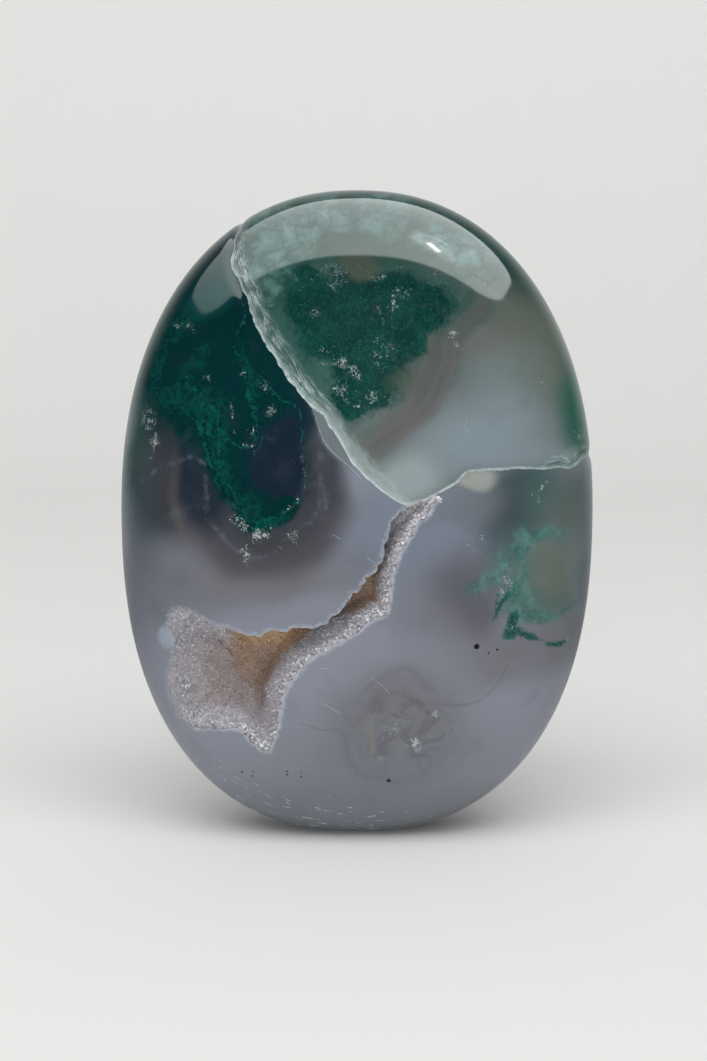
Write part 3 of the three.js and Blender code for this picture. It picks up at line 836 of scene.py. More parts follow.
def write_lines(name, curves):
    """Stores the distance to the nearest of some curves, and the arrow from that curve to the corner."""
    flat_place = np.column_stack(place)
    found = [nearest_on(smooth_line(curve, per_span=5), flat_place) for curve in curves]
    nearest = np.argmin([distance for distance, *_ in found], axis=0)
    picked = np.arange(len(nearest))
    distance = np.array([item[0] for item in found])[nearest, picked]
    distance = np.where(corners[:, 1] < 1, distance, LINE_RANGE)
    arrow = np.array([item[2] for item in found])[nearest, picked]
    write_field(stone, name, np.minimum(distance, LINE_RANGE))
    write_field(stone, name + "_arrow", np.column_stack([arrow, np.zeros(len(arrow))]))


line_sets = {
    "strand": STRANDS,
    "wisp": WISPS,
    "scratch": SCRATCHES,
    "band": BANDS,
    "hairline": HAIRLINES,
    "ring": RINGS,
}
for name, curves in line_sets.items():
    write_lines(name, curves)
    print(name, "curves:", len(curves))

# %% [markdown]
# ## What else the finishes need to know
# The rest of what a finish reads is stored the same way: how far a corner lies from the fracture and
# from the mouth, how ragged the break is there, and where the crust is rusty, dusty or white. Painted
# shade is stored too: on the top of the stone, at the foot of the bank and on the crust near the face.
# A stored number belongs to its corner, so it stays in place when the piece is moved or exported.

# %% Fields of the fracture and the mouth
ALONG_STOPS = [0, 4, 12, 20, 26, 30, 34, 38, 52, 54, 60, 175]
FIBRE_WIDTHS = [1.3, 1.5, 1.7, 1.6, 1.4, 1.8, 1.3, 0.25, 0.25, 1.1, 1.3, 1.5]
RAGGED_AT = [1.0, 1.0, 1.0, 0.9, 0.7, 0.5, 0.4, 0.3, 0.4, 1.0, 1.2, 1.0]
TIP_ALONG = (19, 27, 36, 44)
# Painted shade: from these heights upwards the top of the stone is painted darker, because more light falls
# on it there.
OVERLIT_FROM = (48, 68)
OVERLIT = 0.35
SIDE_RANGE = 12
GAP_RANGE = 9.0
side, along = side_of_fracture(corners)
x, y, z = corners.T
in_front = y < -1
mouth_gap = nearest_on(mouth_edge, corners[:, [0, 2]])[0]
bank_gap = nearest_on(BANK_LINE, corners[:, [0, 2]])[0]
behind_face = y - front_face(x, z)
at_tip = soft_step(*TIP_ALONG[:2], along) * (1 - soft_step(*TIP_ALONG[2:], along))
share = outline_share(x, z - MIDDLE_Z)
worn_rim = soft_step(0.72, 0.9, share) * soft_step(16, 6, z) * soft_step(20, 0, x) * in_front
write_fields(
    stone,
    side=np.clip(side, -SIDE_RANGE, SIDE_RANGE),
    along=along,
    fibre=side / np.interp(along, ALONG_STOPS, FIBRE_WIDTHS),
    ragged=np.interp(along, ALONG_STOPS, RAGGED_AT),
    at_tip=at_tip,
    mouth_gap=np.where(in_front, np.minimum(mouth_gap, GAP_RANGE), GAP_RANGE),
    bank_gap=np.where(in_front, np.minimum(bank_gap, GAP_RANGE), GAP_RANGE),
    cut_wall=(in_front & (behind_face > 0.15) & (mouth_gap < 0.1)).astype(float),
    round_rim=np.arctan2(x, z - MIDDLE_Z) * 30,
    out_share=share,
    worn_rim=worn_rim,
    overlit=soft_step(*OVERLIT_FROM, z) * OVERLIT,
)
print("fracture is", round(float(along.max()), 1), "mm long")

# %% Fields of the crust
RUST_PLACES = [((-9.6, 21.4), (4.0, 4.6), 10), ((-6.8, 23.9), (3.2, 1.6), 8), ((0.2, 28.4), (4.0, 2.4), 48)]
WHITE_PLACES = [
    (0.45, (-17.3, 14.0), (5.0, 1.4), -8, 0.7),
    (0.3, (-19.8, 19), (0.9, 5.0), 0, 0.7),
    (1.0, (-10.6, 12.4), (2.8, 0.9), -38, 0.7),
    (0.35, (-16.5, 25.2), (4.4, 1.3), -14, 0.6),
    (0.7, (-6.8, 18.6), (1.6, 3.5), -20, 0.7),
]
crust_corners = corners_of(crust)
cx, cy, cz = crust_corners.T
crust_place = (cx, cz)
depth_below = cy - front_face(cx, cz)
edge_gap = nearest_on(mouth_edge, crust_corners[:, [0, 2]])[0]
crust_bank_gap = nearest_on(BANK_LINE, crust_corners[:, [0, 2]])[0] + 0.25 * lumps(cx, cz, 0.4)
in_neck = soft_step(-4.0, -2.0, cx)
off_bank = soft_step(0, 0.6, crust_bank_gap - (1.5 - 0.6 * in_neck))
rust = np.max([wash(crust_place, *spot, 0.5) for spot in RUST_PLACES], axis=0)
dust = wash(crust_place, (-3.0, 25.2), (2.4, 1.4), 30, 0.8)
rust = rust * (1 - 0.6 * dust)
gold = wash(crust_place, (-8.6, 23.4), (4.4, 1.8), 4, 0.6)
tan = np.maximum(wash(crust_place, (-11.8, 18.6), (5.8, 5.8), 8, 0.7), 0.8 * rust)
# Painted shadow: a dark brown strip at the foot of the bank, where shade falls in the pool.
deep = wash(crust_place, (-9.7, 16.0), (1.4, 4.0), -4, 0.7)
whites = [strength * wash(crust_place, *spot) for strength, *spot in WHITE_PLACES]
whites.append(dust)
whites.append(0.45 * (1 - soft_step(0.1, 0.6, crust_bank_gap)))
whites.append((0.06 + 0.64 * in_neck) * (1 - soft_step(1.0, 2.6, crust_bank_gap)))
whites.append(0.3 * (1 - soft_step(0, 0.7, edge_gap)))
rng = np.random.default_rng(SEED)
# Some crystals get pale tips: partly whitish quartz, partly painted glints.
sparkle = np.concatenate([np.full(shift, 0.3), np.repeat(rng.uniform(size=len(point_bases)), 7)])
tip = np.concatenate([np.zeros(shift), np.tile([0, 0, 0, 0, 0, 0, 1.0], len(point_bases))])
write_fields(
    crust,
    rust=rust * off_bank,
    gold=gold * off_bank,
    tan=tan * off_bank,
    deep=deep * off_bank,
    # Painted shade: the crust near the face is painted darker, because more light falls in there.
    near_face=(1 - soft_step(0.3, 2.4, depth_below)) * soft_step(34, 28, cz),
    white=np.max(whites, axis=0),
    sparkle=sparkle,
    tip=tip,
)
print("crust lies up to", round(float(depth_below.max()), 1), "mm below the polish")

# %% [markdown]
# ## Building materials
# A material is a graph. These small helpers add one node each and join it up, so that a recipe reads
# from top to bottom. A number is set on the node, and a socket is linked to it.

# %% Helpers for materials
def add(tree, kind, inputs=(), **settings):
    """Adds a node, sets its options, and links or sets its inputs, given by name or by number."""
    made = tree.nodes.new(kind)
    for name, value in settings.items():
        setattr(made, name, value)
    for key, value in dict(inputs).items():
        if isinstance(value, bpy.types.NodeSocket):
            tree.links.new(value, made.inputs[key])
        else:
            made.inputs[key].default_value = value
    return made


def field(tree, name, output="Fac"):
    """Reads what was stored on the corners under this name."""
    return add(tree, "ShaderNodeAttribute", attribute_name=name).outputs[output]


def sums(tree, operation, a, b=0.0):
    """One sum of two numbers, or of one: ADD, SUBTRACT, MAXIMUM, ABSOLUTE, SINE and so on."""
    return add(tree, "ShaderNodeMath", {0: a, 1: b}, operation=operation).outputs[0]


def times(tree, *values):
    """The product of several numbers."""
    product = values[0]
    for value in values[1:]:
        product = sums(tree, "MULTIPLY", product, value)
    return product


def greatest(tree, *values):
    """The greatest of several numbers."""
    most = values[0]
    for value in values[1:]:
        most = sums(tree, "MAXIMUM", most, value)
    return most


def swing(tree, cloud, amount):
    """A noise from 0 to 1 turned into a push both ways: its distance from one half, times the amount."""
    return times(tree, sums(tree, "SUBTRACT", cloud, 0.5), amount)


def rise(tree, value, low, high, to_low=0.0, to_high=1.0):
    """An S-shaped step from one value to another as the input goes from low to high."""
    inputs = {"Value": value, "From Min": low, "From Max": high, "To Min": to_low, "To Max": to_high}
    return add(tree, "ShaderNodeMapRange", inputs, interpolation_type="SMOOTHSTEP").outputs[0]


def blend(tree, share, under, over):
    """The colour under, covered by the colour over where the share is 1."""
    made = add(tree, "ShaderNodeMix", {0: share}, data_type="RGBA")
    for socket, value in ((made.inputs[6], under), (made.inputs[7], over)):
        if isinstance(value, bpy.types.NodeSocket):
            tree.links.new(value, socket)
        else:
            socket.default_value = (*value, 1.0)
    return made.outputs[2]


def show(tree, surface, kind="ShaderNodeOutputMaterial"):
    """Sends a finished surface, or a world's glow, to the output of its tree."""
    add(tree, kind, {"Surface": surface.outputs[0]})


# %% Helpers for patterns
def arrows(tree, operation, a, b=(0.0, 0.0, 0.0), output="Vector"):
    """One sum of two arrows: their total, their difference, their distance and so on."""
    return add(tree, "ShaderNodeVectorMath", {0: a, 1: b}, operation=operation).outputs[output]


def in_mm(tree):
    """Object coordinates in millimetres."""
    coords = add(tree, "ShaderNodeTexCoord").outputs["Object"]
    return add(tree, "ShaderNodeMapping", {"Vector": coords, "Scale": (1 / MM,) * 3}).outputs[0]


def pushed(tree, name, cloud, amount):
    """A stored number that a noise pushes about, by half the amount each way."""
    return sums(tree, "ADD", field(tree, name), swing(tree, cloud, amount))


def growth(tree, name, *pushes):
    """A stored thickness whose edge noises push about. Where none is stored, none grows."""
    stored = field(tree, name)
    thickness = stored
    for push in pushes:
        thickness = sums(tree, "ADD", thickness, push)
    return times(tree, thickness, rise(tree, stored, 0.0, 0.12))


def wavy(tree, coords, scale, amount):
    """A small push over the face, for bending lines: a coloured noise less one half, times the amount."""
    inputs = {"Vector": coords, "Scale": scale, "Detail": 3.0, "Roughness": 0.6}
    cloud = add(tree, "ShaderNodeTexNoise", inputs).outputs["Color"]
    centred = arrows(tree, "SUBTRACT", cloud, (0.5, 0.5, 0.5))
    return arrows(tree, "MULTIPLY", centred, (amount, amount, 0.0))


def seam_gap(tree, coords, scale, push):
    """How far the nearest seam between rounded cells is: the way to a cell's edge, on bent coordinates."""
    inputs = {"Vector": arrows(tree, "ADD", coords, push), "Scale": scale}
    return add(tree, "ShaderNodeTexVoronoi", inputs, feature="DISTANCE_TO_EDGE").outputs["Distance"]


def noise(tree, coords, scale, detail, roughness=0.55, distortion=0.0):
    """Cloudy noise from 0 to 1, with a scale in waves for each millimetre."""
    inputs = {"Vector": coords, "Scale": scale, "Detail": detail}
    inputs |= {"Roughness": roughness, "Distortion": distortion}
    return add(tree, "ShaderNodeTexNoise", inputs).outputs["Fac"]


def threads(tree, coords, scale, width, distortion, detail):
    """Thin winding lines: where the noise is within a narrow width of its middle value."""
    cloud = noise(tree, coords, scale, detail, 0.55, distortion)
    from_middle = sums(tree, "ABSOLUTE", sums(tree, "SUBTRACT", cloud, 0.5))
    return rise(tree, from_middle, width, 0.0)


def specks(tree, coords, scale, clumps, crowd, bare, soft=0.03):
    """Irregular grains: the peaks of a fine noise, which clumps and a crowd lift over the bare height."""
    peaks = sums(tree, "ADD", noise(tree, coords, scale, 3.0, 0.7, 0.5), swing(tree, clumps, 0.3))
    return rise(tree, sums(tree, "ADD", peaks, times(tree, crowd, 0.16)), bare, bare + soft)


def fine_line(tree, name, width, wobble, push=(0.0, 0.0, 0.0)):
    """A line of a given half width in millimetres: the stored arrow, bent by a push, has no length on it."""
    bent = arrows(tree, "ADD", field(tree, name + "_arrow", "Vector"), push)
    reach = arrows(tree, "LENGTH", bent, output="Value")
    gap = sums(tree, "ADD", reach, swing(tree, wobble, width * 2))
    near = rise(tree, field(tree, name), 1.3, 0.7)
    return times(tree, rise(tree, gap, width, width * 0.3), near)


def woven(tree, across, along, tilt, pace):
    """Coordinates for fibres that run along a line at a slight tilt: pace waves a millimetre across it."""
    slanted = sums(tree, "ADD", times(tree, across, pace), times(tree, along, tilt))
    return add(tree, "ShaderNodeCombineXYZ", {0: slanted, 1: times(tree, along, 0.2), 2: pace}).outputs[0]


def new_material(name):
    """A material whose graph is empty, and that graph."""
    material = bpy.data.materials.new(name)
    material.use_nodes = True
    material.node_tree.nodes.clear()
    return material, material.node_tree


# %% [markdown]
# ## The agate's finish
# The stone is opaque enough to be painted, and its depth comes from soft washes under sharp marks. The
# recipe goes from the bottom up: the wash of its side of the fracture, the moss with ragged edges, its
# threads and strands, the fibres of the fracture, the frost, and the dark pits.

# %% Ground and side of the fracture
agate, tree = new_material("polished_agate")
mm = in_mm(tree)
cloud = noise(tree, mm, 0.26, 5.0, 0.55, 0.4)
grain = noise(tree, mm, 0.55, 4.0, 0.55)
fine = noise(tree, mm, 1.6, 4.0, 0.65, 0.3)
steps = sums(tree, "ADD", swing(tree, noise(tree, mm, 0.35, 1.0), 1.3), swing(tree, fine, 0.25))
ragged = times(tree, field(tree, "ragged"), steps)
edge_side = sums(tree, "ADD", field(tree, "side"), ragged)
in_lobe = rise(tree, edge_side, -0.03, 0.05)
ground = blend(tree, in_lobe, field(tree, "rest_wash", "Color"), field(tree, "lobe_wash", "Color"))
ground = blend(tree, rise(tree, cloud, 0.52, 0.8, 0.0, 0.2), ground, PLUM)
ground = blend(tree, rise(tree, cloud, 0.48, 0.2, 0.0, 0.12), ground, MIST)
print("ground:", len(tree.nodes), "nodes")

# %% Bands and wisps in the chalcedony
BAND_GREY = linear(80, 79, 78)
RIPPLE_GREY = linear(118, 122, 122)
HAIRLINE_GREY = linear(76, 74, 78)
RING_GREY = linear(80, 78, 84)
WISP_BLUE = linear(112, 122, 134)
band_gap = pushed(tree, "band", grain, 0.8)
band_cover = times(tree, rise(tree, band_gap, 1.6, 0.1, 0.0, 0.66), in_lobe)
ground = blend(tree, band_cover, ground, BAND_GREY)
ripples = sums(tree, "SINE", times(tree, band_gap, 3.6))
near_band = rise(tree, field(tree, "band"), 4.0, 1.2, 0.0, 0.14)
ripple_cover = times(tree, rise(tree, ripples, -0.4, 1.0), near_band, in_lobe)
ground = blend(tree, ripple_cover, ground, RIPPLE_GREY)
hairline = times(tree, fine_line(tree, "hairline", 0.14, grain), 0.25)
ground = blend(tree, hairline, ground, HAIRLINE_GREY)
ring_cover = rise(tree, pushed(tree, "ring", fine, 0.7), 0.6, 0.0, 0.0, 0.22)
ground = blend(tree, ring_cover, ground, RING_GREY)
smoke = rise(tree, grain, 0.35, 0.65, 0.0, 0.4)
wisp_cover = times(tree, rise(tree, pushed(tree, "wisp", fine, 1.1), 0.4, 0.0), smoke, 0.75)
ground = blend(tree, wisp_cover, ground, WISP_BLUE)
print("with bands and wisps:", len(tree.nodes), "nodes")

# %% Swirl of the low nodule
SWIRL_DARK = linear(84, 82, 87)
SWIRL_PALE = linear(114, 115, 121)
swirl_cloud = noise(tree, mm, 0.4, 5.0, 0.6, 1.6)
swirl_dark = times(tree, field(tree, "swirl"), rise(tree, swirl_cloud, 0.52, 0.36, 0.0, 0.5))
swirl_pale = times(tree, field(tree, "swirl"), rise(tree, swirl_cloud, 0.54, 0.7, 0.0, 0.5))
ground = blend(tree, swirl_dark, ground, SWIRL_DARK)
ground = blend(tree, swirl_pale, ground, SWIRL_PALE)
sallow_cover = times(tree, field(tree, "sallow"), rise(tree, fine, 0.35, 0.6, 0.1, 0.6))
ground = blend(tree, sallow_cover, ground, SALLOW)
print("with the swirl:", len(tree.nodes), "nodes")

# %% [markdown]
# ## The moss
# The moss is a mineral that grew through the gel before it set, as tufts and threads. Its inside is
# nearly black green, and only its fringe shows single threads. So a dark cover comes first, then a net
# of rounded cells and a web of winding lines where the growth is green, and last the strands that
# were drawn as curves. Every share below says how much of the ground such a layer hides.

# %% Moss outside the fracture
DEEP_MOSS = linear(4, 41, 43)
MID_MOSS = linear(8, 58, 54)
NET_GREEN = linear(10, 74, 67)
WEB_GREEN = linear(14, 82, 74)
STRAND_GREEN = linear(13, 81, 73)
SMUDGE_BLUE = linear(24, 42, 50)
moss_cloud = noise(tree, mm, 0.4, 7.0, 0.62, 0.5)
moss_push = swing(tree, moss_cloud, 1.3)
left_share = growth(tree, "left_moss", moss_push, swing(tree, fine, 0.9))
rest = blend(tree, rise(tree, left_share, 0.3, 0.85), ground, DEEP_MOSS)
green_share = growth(tree, "left_green", moss_push, swing(tree, fine, 1.6))
rest = blend(tree, rise(tree, green_share, 0.5, 1.6, 0.0, 0.4), rest, MID_MOSS)
web = greatest(tree, threads(tree, mm, 0.42, 0.012, 1.8, 4.0), threads(tree, mm, 0.9, 0.02, 1.6, 3.0))
in_green = times(tree, rise(tree, left_share, 0.0, 0.8), rise(tree, green_share, 0.25, 1.1, 0.06, 0.85))
net_gap = seam_gap(tree, mm, 0.8, wavy(tree, mm, 0.9, 1.8))
net = rise(tree, sums(tree, "ADD", net_gap, swing(tree, fine, 0.3)), 0.2, 0.0)
rest = blend(tree, times(tree, net, in_green, 0.65), rest, NET_GREEN)
rest = blend(tree, times(tree, web, in_green, 0.6), rest, WEB_GREEN)
strand = fine_line(tree, "strand", 0.18, fine, wavy(tree, mm, 0.7, 1.8))
strand_cover = times(tree, strand, rise(tree, fine, 0.36, 0.56, 0.5, 0.95))
rest = blend(tree, strand_cover, rest, STRAND_GREEN)
rest = blend(tree, times(tree, field(tree, "teal_veil"), 0.6), rest, TEAL)
smudges = rise(tree, cloud, 0.55, 0.75, 0.0, 0.5)
rest = blend(tree, times(tree, smudges, field(tree, "left_moss")), rest, SMUDGE_BLUE)
print("with the moss on the left:", len(tree.nodes), "nodes")

# %% Green on the right
HAZE_GREEN = linear(58, 92, 86)
RIGHT_GREEN = linear(40, 90, 83)
RIGHT_PALE = linear(80, 120, 114)
RIGHT_WEB = linear(120, 160, 152)
TIP_DARK = linear(14, 64, 60)
TIP_GREEN = linear(40, 94, 86)
haze_share = growth(tree, "right_haze", moss_push)
rest = blend(tree, rise(tree, haze_share, 0.0, 1.5, 0.0, 0.55), rest, HAZE_GREEN)
right_share = growth(tree, "right_moss", swing(tree, moss_cloud, 2.0), swing(tree, grain, 1.2))
right_cover = rise(tree, right_share, 0.0, 1.5, 0.0, 0.92)
right_tone = blend(tree, rise(tree, grain, 0.4, 0.64), RIGHT_GREEN, RIGHT_PALE)
rest = blend(tree, right_cover, rest, right_tone)
rest = blend(tree, times(tree, web, right_cover, 0.45), rest, RIGHT_WEB)
tip_share = growth(tree, "right_tip", swing(tree, fine, 2.6))
tip_tone = blend(tree, rise(tree, fine, 0.45, 0.62), TIP_DARK, TIP_GREEN)
rest = blend(tree, rise(tree, tip_share, 0.2, 0.8, 0.0, 0.92), rest, tip_tone)
print("with the green on the right:", len(tree.nodes), "nodes")

# %% Moss in the lobe
LOBE_GREEN = linear(7, 50, 47)
LOBE_PALE = linear(16, 68, 61)
LOBE_WEB = linear(42, 98, 90)
lobe_share = growth(tree, "lobe_moss", moss_push, swing(tree, fine, 1.3))
lobe_cover = rise(tree, lobe_share, 0.15, 0.9, 0.0, 0.96)
mottle = sums(tree, "ADD", cloud, swing(tree, fine, 0.6))
lobe_tone = blend(tree, rise(tree, mottle, 0.45, 0.8), LOBE_GREEN, LOBE_PALE)
lobe = blend(tree, lobe_cover, ground, lobe_tone)
windows = times(tree, rise(tree, cloud, 0.4, 0.25, 0.0, 0.6), lobe_cover)
lobe = blend(tree, greatest(tree, windows, field(tree, "window")), lobe, TAUPE)
near_moss = rise(tree, field(tree, "lobe_moss"), 0.0, 0.1)
web_cover = times(tree, web, near_moss, rise(tree, lobe_share, -0.35, 0.25, 0.0, 0.55))
lobe = blend(tree, web_cover, lobe, LOBE_WEB)
print("with the moss in the lobe:", len(tree.nodes), "nodes")

# %% Froth at the top of the lobe
FROTH_PALE = linear(112, 154, 148)
FROTH_CRACK = linear(24, 72, 63)
froth_share = growth(tree, "froth", swing(tree, cloud, 2.0), swing(tree, grain, 2.2), swing(tree, fine, 0.6))
froth_gap = seam_gap(tree, mm, 0.36, wavy(tree, mm, 0.8, 2.6))
froth_cells = rise(tree, froth_gap, 0.0, 0.3, 0.5, 1.0)
froth_cover = times(tree, rise(tree, froth_share, 0.1, 1.6, 0.0, 0.85), froth_cells)
lobe = blend(tree, froth_cover, lobe, FROTH_PALE)
cracks = times(tree, rise(tree, froth_share, 0.7, 0.2), rise(tree, froth_share, 0.02, 0.2), 0.6)
seams = times(tree, rise(tree, froth_gap, 0.07, 0.0), rise(tree, froth_share, 0.2, 0.8), 0.5)
lobe = blend(tree, greatest(tree, cracks, seams), lobe, FROTH_CRACK)
colour = blend(tree, in_lobe, rest, lobe)
print("with the froth:", len(tree.nodes), "nodes")

# %% [markdown]
# ## The healed fracture
# Quartz healed the break as a bundle of whitish fibres that run along it, thick at the top and thin
# where the line turns right. Winding threads are made on coordinates that are stretched along the
# stored length of the line, so they follow it round the stone as drawn strokes would not.

# %% Fibres of the healed fracture
FIBRE_WHITE = linear(200, 215, 213)
FIBRE_GREY = linear(134, 147, 147)
FIBRE_GREEN = linear(52, 84, 82)
LIP_WHITE = linear(190, 203, 203)
length = field(tree, "along")
fibre_side = sums(tree, "ADD", field(tree, "side"), times(tree, ragged, 0.5))
rising = threads(tree, woven(tree, fibre_side, length, 0.24, 1.8), 1.0, 0.04, 0.5, 4.0)
falling = threads(tree, woven(tree, fibre_side, length, -0.34, 2.3), 1.0, 0.035, 0.5, 4.0)
hairs = threads(tree, woven(tree, fibre_side, length, 0.08, 5.0), 1.0, 0.07, 0.4, 3.0)
fibre_reach = pushed(tree, "fibre", grain, 1.3)
fibre_ground = blend(tree, field(tree, "at_tip"), FIBRE_GREEN, FIBRE_GREY)
base_cover = times(tree, rise(tree, fibre_reach, 1.2, 0.4, 0.0, 0.8), in_lobe)
colour = blend(tree, base_cover, colour, fibre_ground)
in_bundle = times(tree, rise(tree, fibre_reach, 1.35, 0.8), in_lobe)
in_patches = rise(tree, grain, 0.36, 0.6, 0.25, 1.0)
few_at_tip = rise(tree, field(tree, "at_tip"), 0.2, 1.0, 1.0, 0.5)
most_at_top = rise(tree, length, 4, 14, 1.1, 0.7)
fibres = greatest(tree, times(tree, greatest(tree, rising, falling), 0.8), times(tree, hairs, 0.4))
white_share = times(tree, fibres, in_bundle, in_patches, few_at_tip, most_at_top)
colour = blend(tree, white_share, colour, FIBRE_WHITE)
beside_edge = rise(tree, edge_side, 0.7, 0.0, 0.0, 0.3)
near_lip = times(tree, beside_edge, in_lobe, rise(tree, field(tree, "fibre"), 1.3, 0.8))
colour = blend(tree, near_lip, colour, FIBRE_WHITE)
from_edge = sums(tree, "ABSOLUTE", sums(tree, "SUBTRACT", edge_side, 0.08))
calm_lip = rise(tree, length, 40, 46, 1.0, 0.5)
lip = times(tree, rise(tree, from_edge, 0.15, 0.03), rise(tree, fine, 0.4, 0.6, 0.1, 0.85), calm_lip)
colour = blend(tree, lip, colour, LIP_WHITE)
print("with the fibres:", len(tree.nodes), "nodes")

# %% [markdown]
# ## Frost, scratches and pits
# The finest marks lie in the polish itself: crowds of white flakes, dashes along the worn lower edge,
# a few scratches and dark pits. They come last, because they lie over every other colour. Flakes are
# the peaks of a noise, which needs no mesh and is just as sharp from close by.

# %% Frost and scratches
clusters = rise(tree, noise(tree, mm, 1.0, 3.0), 0.36, 0.56, 0.4, 1.2)
crowd = times(tree, field(tree, "frost"), clusters)
small_flakes = specks(tree, mm, 5.6, grain, crowd, 0.75)
large_flakes = specks(tree, mm, 2.8, grain, crowd, 0.8)
crack_place = rise(tree, sums(tree, "ADD", crowd, swing(tree, fine, 1.2)), 0.7, 1.1, 0.0, 0.55)
frost_cracks = times(tree, threads(tree, mm, 1.1, 0.035, 2.0, 4.0), crack_place)
frost = greatest(tree, small_flakes, large_flakes, frost_cracks)
round_rim = times(tree, field(tree, "round_rim"), 0.5)
towards_rim = times(tree, field(tree, "out_share"), 90.0)
rim_place = add(tree, "ShaderNodeCombineXYZ", {0: round_rim, 1: towards_rim}).outputs[0]
worn = field(tree, "worn_rim")
dashes = times(tree, specks(tree, rim_place, 1.3, grain, worn, 0.78, 0.05), worn, 0.6)
scratch = times(tree, fine_line(tree, "scratch", 0.055, fine), rise(tree, fine, 0.35, 0.6, 0.05, 0.45))
marks = greatest(tree, times(tree, frost, 0.68), dashes, scratch)
colour = blend(tree, marks, colour, FROST)
print("with frost and scratches:", len(tree.nodes), "nodes")

# %% Pale rim of the mouth and the cut walls
BANK_RIM = linear(172, 175, 184)
THIN_LIP_LIGHT = linear(156, 159, 167)
SUGARED_RIM = linear(166, 168, 177)
CUT_WALL_LIGHTENED = linear(158, 154, 154)
pale_rim = rise(tree, pushed(tree, "bank_gap", fine, 1.0), 0.5, 0.0, 0.0, 0.75)
colour = blend(tree, pale_rim, colour, BANK_RIM)
# Painted light: the thin translucent lip round the mouth is painted paler, as light shines through it.
thin_lip_light = rise(tree, pushed(tree, "mouth_gap", fine, 1.6), 0.4, 0.0, 0.0, 0.35)
colour = blend(tree, thin_lip_light, colour, THIN_LIP_LIGHT)
near_mouth = rise(tree, field(tree, "mouth_gap"), 1.1, 0.1)
sugared = times(tree, specks(tree, mm, 3.2, grain, times(tree, near_mouth, 1.5), 0.72, 0.08), near_mouth, 0.5)
colour = blend(tree, sugared, colour, SUGARED_RIM)
# Painted light: the cut walls are painted pale, lifting the shade that falls in the narrow gap between the
# face and the crust.
colour = blend(tree, field(tree, "cut_wall"), colour, CUT_WALL_LIGHTENED)
print("with the rim of the mouth:", len(tree.nodes), "nodes")

# %% Pits
PITS = [
    ((12.6, 22.8), 0.38), ((13.9, 22.0), 0.13), ((14.8, 22.3), 0.16), ((3.4, 7.6), 0.3), ((-12.4, 8.1), 0.16),
    ((-11.2, 8.3), 0.1), ((-11.3, 7.7), 0.12), ((-7.5, 8.6), 0.14), ((-7.5, 8.2), 0.14), ((-6.0, 8.5), 0.1),
    ((-6.0, 8.0), 0.12),
]
PIT_DARK = linear(20, 20, 24)
UNLIT = (0.0, 0.0, 0.0)


def pit_mask(tree, coords):
    """1 inside any of the pits: the distance to the pit's middle, less its radius, below 0."""
    found = 0.0
    for (pit_x, pit_z), radius in PITS:
        middle = (pit_x, float(front_face(pit_x, pit_z)), pit_z)
        gap = arrows(tree, "DISTANCE", coords, middle, "Value")
        found = greatest(tree, found, rise(tree, gap, radius, radius * 0.6))
    return found


pits = pit_mask(tree, mm)
colour = blend(tree, pits, colour, PIT_DARK)
# Painted shade: the top of the stone is blended towards black, where more light falls on it.
colour = blend(tree, field(tree, "overlit"), colour, UNLIT)
print("with the pits:", len(tree.nodes), "nodes")

# %% Polish
rough_places = greatest(tree, times(tree, white_share, 0.45), times(tree, pale_rim, 0.6))
roughness = rise(tree, rough_places, 0.0, 1.0, 0.07, 0.6)
relief = sums(tree, "ADD", times(tree, white_share, 0.1), times(tree, pale_rim, fine, 0.12))
relief = sums(tree, "ADD", relief, times(tree, pits, -0.3))
bump = add(tree, "ShaderNodeBump", {"Height": relief, "Strength": 0.35, "Distance": 0.4 * MM})
finish = {"Base Color": colour, "Roughness": roughness, "IOR": 1.54, "Normal": bump.outputs[0]}
show(tree, add(tree, "ShaderNodeBsdfPrincipled", finish))
stone.data.materials.clear()
stone.data.materials.append(agate)
print("agate:", len(tree.nodes), "nodes")

# %% [markdown]
# ## The druse's finish
# The quartz is nearly clear, so the sheet under it gives the colour: rusty brown in the deepest places
# and grey elsewhere. A painted shadow darkens the foot of the bank, and painted shade greys the crust
# near the face, where more light falls. The tips of a few crystals are paler than their roots: partly
# whitish quartz, partly painted glints of light.

# %% Quartz druse
MOTTLING = 0.8
LIGHT_IN_HOLLOW = 0.52
SUGAR_GREY = linear(126, 123, 129, LIGHT_IN_HOLLOW)
TAN = linear(120, 111, 110, LIGHT_IN_HOLLOW)
RUST = linear(124, 102, 87, LIGHT_IN_HOLLOW)
GOLD = linear(148, 120, 90, LIGHT_IN_HOLLOW)
# Brown of the painted shadow at the foot of the bank.
BANK_SHADOW_BROWN = linear(88, 74, 68, LIGHT_IN_HOLLOW)
DARK_GRAIN = linear(92, 86, 86, LIGHT_IN_HOLLOW)
# Painted shade: the grey of the crust near the face is divided by the stronger light there, so it is painted
# darker.
LIGHT_NEAR_FACE = 0.7
LIT_GREY = linear(118, 117, 124, LIGHT_NEAR_FACE)
QUARTZ_WHITE = linear(208, 211, 222, LIGHT_IN_HOLLOW)
druse, tree = new_material("druzy_quartz")
mm = in_mm(tree)
sugar = noise(tree, mm, 3.0, 3.0, 0.6)
patches = noise(tree, mm, 0.9, 4.0, 0.6)
tan_share = rise(tree, pushed(tree, "tan", patches, MOTTLING), 0.1, 0.9)
rust_share = rise(tree, pushed(tree, "rust", patches, MOTTLING), 0.2, 0.8)
gold_share = rise(tree, pushed(tree, "gold", patches, MOTTLING), 0.1, 0.9, 0.0, 0.9)
deep_share = rise(tree, pushed(tree, "deep", patches, MOTTLING), 0.1, 0.9, 0.0, 0.5)
colour = blend(tree, tan_share, SUGAR_GREY, TAN)
colour = blend(tree, rust_share, colour, RUST)
colour = blend(tree, times(tree, gold_share, rust_share), colour, GOLD)
# Painted shadow at the foot of the bank.
colour = blend(tree, deep_share, colour, BANK_SHADOW_BROWN)
